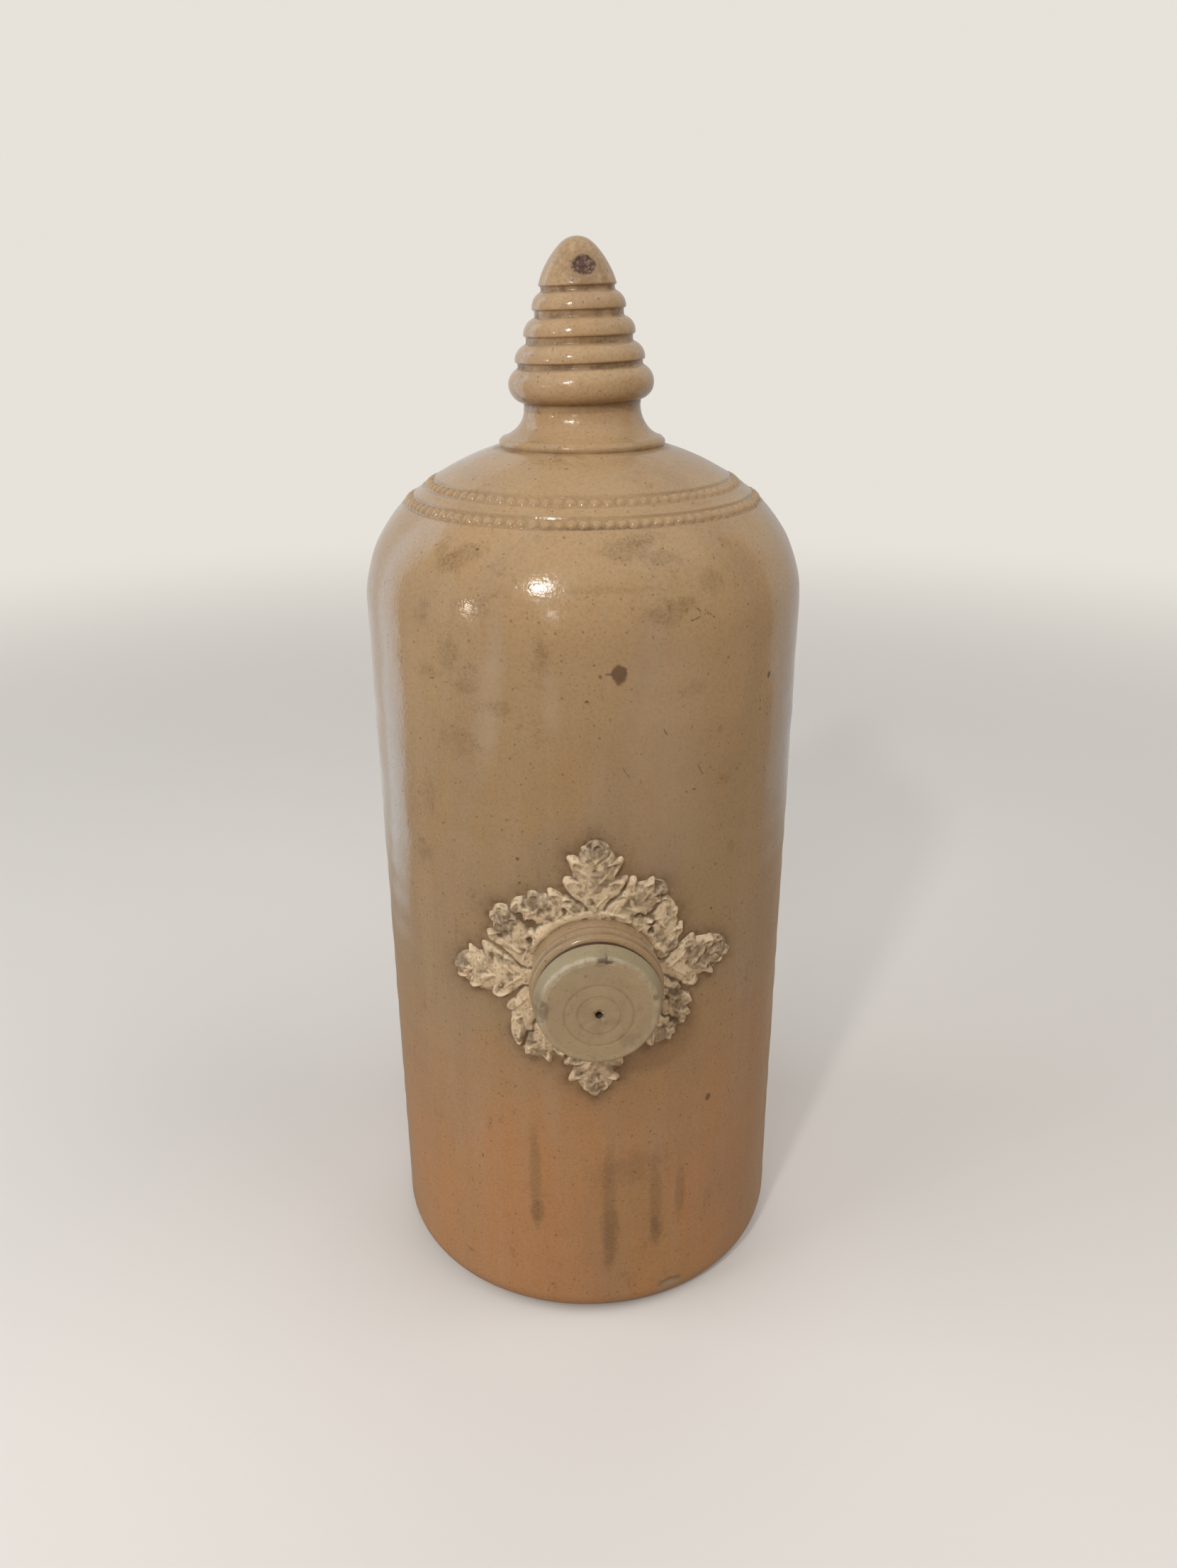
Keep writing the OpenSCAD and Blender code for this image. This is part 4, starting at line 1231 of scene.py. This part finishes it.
class MakeSpout(bpy.types.Operator):
    """Make the collar with its two ridges, the bore with its thread, and the joint to the wall"""

    bl_idname = "bottle.make_spout"
    bl_label = "Make Spout"

    def execute(self, context):
        s, p = context.scene.bottle_body, context.scene.bottle_spout
        face = s.radius + p.collar_length
        inner = s.radius - s.wall - 0.0008
        r = p.collar_radius
        # Outside, from the joint with the wall to the mouth: the joint's fillet is laid out
        # on the wall below, so here it starts at zero distance from the wall
        wall_side = np.array([
            [r, s.radius + 0.001], [r, face - 0.0078], [r - 0.0002, face - 0.0074], [
                r + 0.0003, face - 0.0068
            ]])
        ridges = np.concatenate([
            arc((r - 0.0008, face - 0.0052), 0.0016, -1.0, 1.0, 20), [[r - 0.0002, face - 0.0036]],
            arc((r - 0.0013, face - 0.0019), 0.0017, -0.9, math.pi / 2, 24),
            [[p.mouth_radius + 0.0016, face]],
            arc((p.mouth_radius + 0.0012, face - 0.0012), 0.0012, math.pi / 2, math.pi, 14),
        ])
        bore = np.array([[p.mouth_radius, face - 0.003], [p.mouth_radius, inner]])
        line = softened(np.concatenate([wall_side, ridges, bore]), 0.00020)
        rows = spaced(line, lambda a, q: np.where(q[:, 0] > p.mouth_radius + 0.0001, 0.00035, 0.00055))
        turn = turns(150)
        radius, out = rows[:, :1] + 0 * turn, rows[:, 1:] + 0 * turn
        inside = (rows[:, 0] < p.mouth_radius + 0.0001)[:, None]
        groove = rounded_thread(out, turn, p.thread_pitch) * smooth(out, inner, inner + 0.004)
        groove = groove * smooth(out, face - 0.001, face - 0.005)
        radius = radius + inside * p.thread_depth * groove
        uneven = 0.00010 * lumps(turn * 0.02, out, 0.006, 44) + 0.00012 * np.sin(2 * turn + 1)
        radius = radius + np.where(inside, 0, uneven * smooth(radius, 0.0165, 0.0195))
        # Joint: a quarter round that runs out on the curved wall
        t = np.linspace(0, 1, 9)[:, None]
        fillet = 0.0016
        joint_r = r + fillet * (1 - np.sin(t * math.pi / 2)) + 0 * turn
        wall_out = np.sqrt(s.radius ** 2 - (joint_r * np.cos(turn)) ** 2)
        joint_out = wall_out + fillet * (1 - np.cos(t * math.pi / 2)) - 0.0001
        hidden_r = np.stack([r - 0.0006 + 0 * turn[0], r + fillet * 0.8 + 0 * turn[0]])
        sunk = np.sqrt(s.radius ** 2 - ((r + fillet) * np.cos(turn[0])) ** 2) - 0.0025
        hidden_out = np.stack([inner + 0 * turn[0], sunk])
        radius = np.concatenate([hidden_r, joint_r, radius])
        least = joint_out[-1:] + 0.0002 * np.arange(len(rows))[:, None] / len(rows)
        out = np.concatenate([hidden_out, joint_out, np.maximum(out, np.where(inside, 0, least))])
        # Darker in the collar's two grooves and in the corner where the collar meets the wall, and painted
        # shade deeper down the bore
        hollow = 0.75 * hump(out, face - 0.0036, 0.00040) + 0.5 * hump(out, face - 0.0073, 0.00035)
        hollow = hollow * (radius > r - 0.003) * (0.75 + 0.5 * lumps(turn * 0.02, out, 0.004, 45))
        wall_out = np.sqrt(s.radius ** 2 - (r * np.cos(turn)) ** 2)
        hollow = np.maximum(hollow, 0.8 * np.exp(-np.abs(out - wall_out) / 0.0010) * (radius > r - 0.003))
        hollow = np.maximum(hollow, (radius < r - 0.0035) * smooth(out, face - 0.0005, face - 0.006) * 0.55)
        grid = along_spout(radius, turn, out, p.height)
        piece = tube("spout", grid, "glaze", {"hollow": hollow})
        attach(piece, "bottle")
        return {"FINISHED"}


def on_body(flat, height, radius, axis_height):
    """Wraps flat places round the spout's axis onto the body: across becomes a turn."""
    turn = flat[..., 0] / radius
    return np.stack(
        [(radius + height) * np.sin(turn), -(radius + height) * np.cos(turn), axis_height + flat[..., 1]], -1
    )


class MakeWreath(bpy.types.Operator):
    """Press the leaves and the clay that beds them onto the body round the collar"""

    bl_idname = "bottle.make_wreath"
    bl_label = "Make Wreath"

    def execute(self, context):
        s, p, w = context.scene.bottle_body, context.scene.bottle_spout, context.scene.bottle_wreath
        fx, fy, height, soiled = wreath_field(w, p.collar_radius)
        # Darker in folds of three widths, and a painted deep shadow in the holes
        low = 0.12 * low_places(height, 1) / 0.00008
        low = low + 0.50 * low_places(height, 4) / 0.00030
        low = low + 0.45 * low_places(height, 9) / 0.0006
        low = np.clip(low + 2 * np.maximum(soiled - 1, 0), 0, 1)
        # The relief runs on a little below the body's skin, which cuts the leaves' outlines
        height = np.maximum(height, -0.0006)
        quads = woven(*fx.shape, wrap_columns=False)
        corners = height.ravel()[quads]
        middle = np.hypot(fx.ravel()[quads].mean(1), fy.ravel()[quads].mean(1))
        quads = quads[(corners.max(1) > -0.0003) & (middle > p.collar_radius - 0.0005)]
        used, quads = np.unique(quads, return_inverse=True)
        quads = quads.reshape(-1, 4)
        flat = np.stack([fx.ravel()[used], fy.ravel()[used]], -1)
        top = on_body(flat, height.ravel()[used], s.radius, p.height)
        bed = on_body(flat, np.full(len(used), -0.0012), s.radius, p.height)
        n = len(used)
        fields = {"hollow": low, "soiled": soiled}
        layers = {key: np.concatenate([field.ravel()[used], np.ones(n)]) for key, field in fields.items()}
        faces = [quads, quads[:, ::-1] + n, joined_behind((quads,), n)]
        leaves = put("sprigged_leaves", np.concatenate([top, bed]), faces, [MATERIALS["white"]], layers)
        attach(leaves, "bottle")
        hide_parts("leaf_wreath")
        return {"FINISHED"}


class MakeStopper(bpy.types.Operator):
    """Turn the screw stopper with its worn face, small hole and rounded thread"""

    bl_idname = "bottle.make_stopper"
    bl_label = "Make Stopper"

    def execute(self, context):
        s, p, k = context.scene.bottle_body, context.scene.bottle_spout, context.scene.bottle_stopper
        back = s.radius + p.collar_length + k.washer
        front = back + k.thickness
        end = back - k.shank_length
        shank = p.mouth_radius - k.clearance
        root = shank - p.thread_depth
        line = np.concatenate([
            [[0, end]],
            arc((root - 0.0016, end + 0.0016), 0.0016, -math.pi / 2, 0, 12),
            [[root, back - 0.0022], [shank, back - 0.0012], [shank, back], [k.flange_radius - 0.0006, back]],
            arc((k.flange_radius - 0.0006, back + 0.0006), 0.0006, -math.pi / 2, 0, 10),
            arc((k.face_radius - 0.0009, front - 0.0011), 0.0011, 0.2, math.pi / 2, 16),
            [[k.hole_radius + 0.0002, front], [k.hole_radius, front - 0.0003]],
            [[k.hole_radius * 0.8, front - 0.005], [0, front - 0.006]],
        ])
        line = softened(line, 0.00016)
        line[0, 0] = line[-1, 0] = 0

        def spacing(along, q):
            return np.where(q[:, 0] < 0.003, 0.00025, np.where(q[:, 1] < back, 0.00055, 0.00035))

        rows = spaced(line, spacing)
        turn = turns(150)
        radius, out = rows[:, :1] + 0 * turn, rows[:, 1:] + 0 * turn
        threaded = (rows[:, 0] > root - 0.0003)[:, None] & (rows[:, 1] < back - 0.0005)[:, None]
        crest = rounded_thread(out, turn, p.thread_pitch) ** 1.3 * smooth(out, end + 0.0005, end + 0.004)
        crest = crest * smooth(out, back - 0.001, back - 0.003)
        radius = radius + threaded * p.thread_depth * crest
        on_face = (rows[:, 1] > front - 0.0006)[:, None]
        # The hole and the pressed circles lie below the middle: their centre slides back to
        # the stopper's own as the radius grows
        drop = k.hole_drop * (1 - smooth(radius, 0.0112, 0.0165)) * (rows[:, 1:] > back + 0.0003)
        x, up = radius * np.cos(turn), radius * np.sin(turn) - drop
        ring = 0.00016 * (hump(radius, 0.0066, 0.00028) + 0.8 * hump(radius, 0.0106, 0.00028))
        right, left = np.hypot(x - 0.0036, up + 0.0002), np.hypot(x + 0.0030, up + 0.0042)
        dent = 0.00022 * (hump(right, 0, 0.0022) + 0.6 * hump(left, 0, 0.0020))
        worn = 0.00007 * lumps(x, up, 0.0032, 61) + 0.00004 * lumps(x, up, 0.0013, 62)
        far = radius / k.hole_radius
        torn = 0.00045 * hump(far, 1.25, 0.35) * (0.6 + lumps(x, up, 0.0008, 63))
        out = out - on_face * (ring + dent + torn - worn + 0.00012 + 0.00008 * smooth(radius, 0.0064, 0.0058))
        rim = smooth(radius, k.face_radius - 0.0015, k.face_radius) * (rows[:, 1:] > back + 0.001)
        nick = np.clip(lumps(turn * 0.018, out, 0.0017, 64) - 0.35, 0, 1) * 0.00035 * rim
        radius = radius - nick
        x, up = radius * np.cos(turn), radius * np.sin(turn) - drop
        grid = np.stack([x, -out, p.height + up], -1)
        # Painted shade fills the small hole; the pressed circles, a smear and the thread's roots are darker
        deep = (rows[:, 0] < k.hole_radius * 1.12)[:, None] & (rows[:, 1] > back)[:, None]
        rings = 0.22 * on_face * (hump(radius, 0.0066, 0.0003) + hump(radius, 0.0106, 0.0003))
        smear = 0.25 * on_face * np.clip(-lumps(x, up, 0.004, 65), 0, 1) * hump(radius, 0.005, 0.006)
        hollow = np.where(deep, 1.0, rings + smear)
        hollow = np.maximum(hollow, threaded * 0.5 * (1 - rounded_thread(rows[:, 1:], turn, p.thread_pitch)))
        rim = (rows[:, 1:] > back) & (rows[:, 1:] < front - 0.0002) & (rows[:, :1] > k.face_radius - 0.0012)
        side = np.where(rim, 1.0, 0.0) + 0 * turn
        # The pale rim band is wear and a painted highlight, strongest on the upper left where the light falls
        worn_and_highlit = hump(rows[:, 1:], front - 0.0004, 0.0007) * (rows[:, :1] > k.face_radius - 0.0022)
        upper = 0.55 * smooth(np.sin(turn - 0.9), -0.2, 0.9)
        worn_and_highlit = worn_and_highlit * (0.45 + upper + 0.4 * lumps(turn * 0.018, 0 * turn, 0.003, 66))
        points, quads, fans, layers = capped(grid, {"hollow": hollow, "side": side, "worn_and_highlit": worn_and_highlit})
        piece = put("screw_stopper", points, [quads, fans], [MATERIALS["stopper"]], layers)
        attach(piece, "stopper")
        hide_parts("stopper")
        return {"FINISHED"}


class MakeWasher(bpy.types.Operator):
    """Make the squeezed rubber washer between collar and stopper"""

    bl_idname = "bottle.make_washer"
    bl_label = "Make Washer"

    def execute(self, context):
        s, p, k = context.scene.bottle_body, context.scene.bottle_spout, context.scene.bottle_stopper
        start = s.radius + p.collar_length
        low, high = p.mouth_radius + 0.00005, k.washer_radius
        turn, a = turns(120), turns(40).T
        # A rounded oblong: sine and cosine drawn towards the corners
        square = lambda x: np.sign(x) * np.abs(x) ** 0.35
        radius = (low + high) / 2 + (high - low) / 2 * square(np.cos(a)) + 0 * turn
        bulge = 0.00012 * lumps(turn * 0.018, a * 0.001, 0.005, 71)
        radius = radius - np.abs(bulge) * (np.cos(a) > 0)
        out = start + k.washer / 2 + (k.washer / 2 - 0.00002) * square(np.sin(a)) + 0 * turn
        grid = along_spout(radius, turn, out, p.height)
        piece = tube("rubber_washer", grid, "rubber", {})
        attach(piece, "washer")
        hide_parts("stopper_washer")
        return {"FINISHED"}


def aimed(name, data, x, y, z, where):
    """A lamp or a camera at a place, with its three axes. It looks against its z."""
    m = np.eye(4)
    m[:3] = np.stack([x, y, z, where], 1)
    piece = bpy.data.objects.new(name, data)
    piece.matrix_world = Matrix(m.tolist())
    bpy.context.scene.collection.objects.link(piece)
    return piece


def soft_lamp(name, turn, rise, distance, size, power, tint, target=(0, 0, 0.17)):
    """A square lamp at a distance from the target, turned from the front towards +X and
    raised above the horizon, and aimed at the target."""
    data = bpy.data.lights.new(name, "AREA")
    data.shape, data.size, data.energy, data.color = "SQUARE", size, power, tint
    a, e = math.radians(turn), math.radians(rise)
    away = np.array([math.sin(a) * math.cos(e), -math.cos(a) * math.cos(e), math.sin(e)])
    x = np.cross((0, 0, 1), away)
    x /= np.linalg.norm(x)
    return aimed(name, data, x, np.cross(away, x), away, np.array(target) + away * distance)


# Each lamp's name, turn and rise in degrees, distance, size in metres, power and tint. The
# small ones make the glints and have a target of their own. The fills don't show in the glaze.
GLINTS = (
    ("window", -25.8, 34.2, 1.30, 0.085, 4.3, (1.0, 0.97, 0.92), (-0.014, -0.068, 0.269)),
    ("low_window", -62.4, 10.9, 1.30, 0.07, 0.45, (1.0, 0.88, 0.70), (-0.045, -0.055, 0.262)),
    ("lower_pane", -17.8, 14.4, 1.30, 0.07, 0.25, (1.0, 0.97, 0.92), (-0.012, -0.070, 0.262)),
)
FILLS = (
    ("left_fill", -78, 26, 1.35, 1.1, 8.8, (0.95, 0.97, 1.0)),
    ("right_fill", 68, 48, 1.40, 1.0, 6.8, (1.0, 0.98, 0.95)),
    ("front_fill", -5, 38, 1.40, 0.9, 4.3, (1.0, 0.98, 0.95)),
    ("back_fill", 170, 45, 1.40, 1.0, 3.0, (1.0, 0.99, 0.97)),
)

# The camera: focal length and sensor in millimetres, yaw, pitch and roll in degrees, place.
LENS, SENSOR = 27.05, 36.0
CAMERA_ANGLES = (2.633, -22.447, -0.29)
CAMERA_PLACE = (-0.01671, -0.39653, 0.34452)
FLOOR_COLUMNS = 96


class MakeStage(bpy.types.Operator):
    """Lay the pale floor and its upturned backdrop, and set lamps, world and camera"""

    bl_idname = "bottle.make_stage"
    bl_label = "Make Stage"

    def execute(self, context):
        scene = context.scene
        material, tree, shader, place = started("pale_floor_and_painted_reflection")
        shader.inputs["Roughness"].default_value = 0.85
        shader.inputs["Specular IOR Level"].default_value = 0.2
        # Far from the bottle the camera sees an even pale wall, and near it the floor keeps its
        # shadow. For the glaze's reflections the floor glows as a painted reflection: a pale wall behind, from
        # a bearing on, brighter on the left with a cool window in it, and the floor in front of it.
        path = add(tree, "ShaderNodeLightPath").outputs
        camera, glossy = path["Is Camera Ray"], path["Is Glossy Ray"]
        tree.links.new(
            blend(tree, camera, (0.42, 0.32, 0.235), scene.bottle_finishes.floor), shader.inputs["Base Color"]
        )
        far = vector(tree, "LENGTH", place)
        x, y, _ = add(tree, "ShaderNodeSeparateXYZ", Vector=place).outputs
        bearing = times(tree, y, times(tree, x, 0.0, "ABSOLUTE"), "ARCTAN2")
        left = ranged(tree, x, 0.05, -0.15)
        reach = times(tree, far, times(tree, left, 0.07), "ADD")
        behind = times(tree, ranged(tree, bearing, 0.31, 0.38), ranged(tree, reach, 0.30, 0.56))
        window = times(tree, left, ranged(tree, bearing, 0.80, 0.70))
        beyond = times(tree, camera, ranged(tree, far, 0.45, 1.5))
        seen = times(tree, beyond, times(tree, glossy, behind), "ADD", True)
        level = times(tree, times(tree, left, 0.18), 0.58, "ADD")
        level = times(tree, level, times(tree, window, 0.62), "ADD")
        strength = times(tree, camera, times(tree, glossy, level), "ADD")
        # Colour of the painted reflection: a pale wall with a cool window on the left
        painted_reflection_tone = blend(tree, window, (0.88, 0.87, 0.85), (0.72, 0.87, 1.0))
        shown = blend(tree, camera, painted_reflection_tone, (0.80, 0.765, 0.70))
        pale = add(tree, "ShaderNodeEmission", Color=shown, Strength=strength).outputs[0]
        surface = add(tree, "ShaderNodeMixShader", _0=seen, _1=shader.outputs[0], _2=pale).outputs[0]
        tree.links.new(surface, tree.nodes["Material Output"].inputs["Surface"])

        # Floor: a flat disc that turns up into a round wall
        outline = np.concatenate([[[0, 0]], arc((1.5, 0.9), 0.9, -math.pi / 2, 0), [[2.4, 2.2]]])
        line = spaced(outline, lambda s, p: np.where(p[:, 0] < 1.4, 0.35, 0.08))
        turn = turns(FLOOR_COLUMNS, -math.pi)
        grid = upright(line[:, :1] + 0 * turn, turn, line[:, 1:] + 0 * turn)
        points = np.concatenate([grid[1:].reshape(-1, 3), grid[0, :1]])
        j = np.arange(FLOOR_COLUMNS)
        fan = np.stack([0 * j + len(points) - 1, (j + 1) % FLOOR_COLUMNS, j], 1)
        floor = put("floor", points, [woven(len(line) - 1, FLOOR_COLUMNS)[:, ::-1], fan[:, ::-1]], [material])

        world = scene.world or bpy.data.worlds.new("studio")
        scene.world = world
        world.use_nodes = True
        background = world.node_tree.nodes["Background"]
        background.inputs["Color"].default_value = (0.93, 0.96, 1.0, 1)
        background.inputs["Strength"].default_value = 0.30
        for row in GLINTS:
            soft_lamp(*row)
        for row in FILLS:
            soft_lamp(*row).visible_glossy = False

        data = bpy.data.cameras.new("camera")
        data.lens, data.sensor_width, data.clip_start = LENS, SENSOR, 0.01
        yaw, pitch, roll = (math.radians(angle) for angle in CAMERA_ANGLES)
        ahead = np.array([math.sin(yaw) * math.cos(pitch), math.cos(yaw) * math.cos(pitch), math.sin(pitch)])
        level = np.array([math.cos(yaw), -math.sin(yaw), 0])
        right = level * math.cos(roll) + np.cross(level, ahead) * math.sin(roll)
        scene.camera = aimed("camera", data, right, np.cross(right, ahead), -ahead, CAMERA_PLACE)
        scene.view_settings.view_transform = "Standard"
        return {"FINISHED"}


class BottlePanel(bpy.types.Panel):
    """Sizes, finishes and makers of the stoneware bottle"""

    bl_idname = "VIEW3D_PT_stoneware_bottle"
    bl_label = "Stoneware Bottle"
    bl_space_type = "VIEW_3D"
    bl_region_type = "UI"
    bl_category = "Bottle"

    def draw(self, context):
        for operator in MAKERS:
            self.layout.operator(operator.bl_idname)
        for key in SETTINGS:
            box = self.layout.box()
            box.label(text=key.replace("bottle_", "").capitalize())
            settings = getattr(context.scene, key)
            for name in settings.bl_rna.properties.keys():
                if name not in {"rna_type", "name"}:
                    box.prop(settings, name)


MAKERS = (
    MakeFinishes, MakeBody, MakeBeading, MakeFinial, MakeSpout, MakeWreath, MakeStopper, MakeWasher, MakeStage
)
CLASSES = (*SETTINGS.values(), *MAKERS, BottlePanel)


def register():
    for item in CLASSES:
        bpy.utils.register_class(item)
    for key, item in SETTINGS.items():
        setattr(bpy.types.Scene, key, PointerProperty(type=item))


def unregister():
    for key in SETTINGS:
        delattr(bpy.types.Scene, key)
    for item in reversed(CLASSES):
        bpy.utils.unregister_class(item)


def main():
    register()
    bpy.ops.bottle.make_finishes()
    bpy.ops.bottle.make_body()
    bpy.ops.bottle.make_beading()
    bpy.ops.bottle.make_finial()
    bpy.ops.bottle.make_spout()
    bpy.ops.bottle.make_wreath()
    bpy.ops.bottle.make_stopper()
    bpy.ops.bottle.make_washer()
    bpy.ops.bottle.make_stage()


if __name__ == "__main__":
    main()
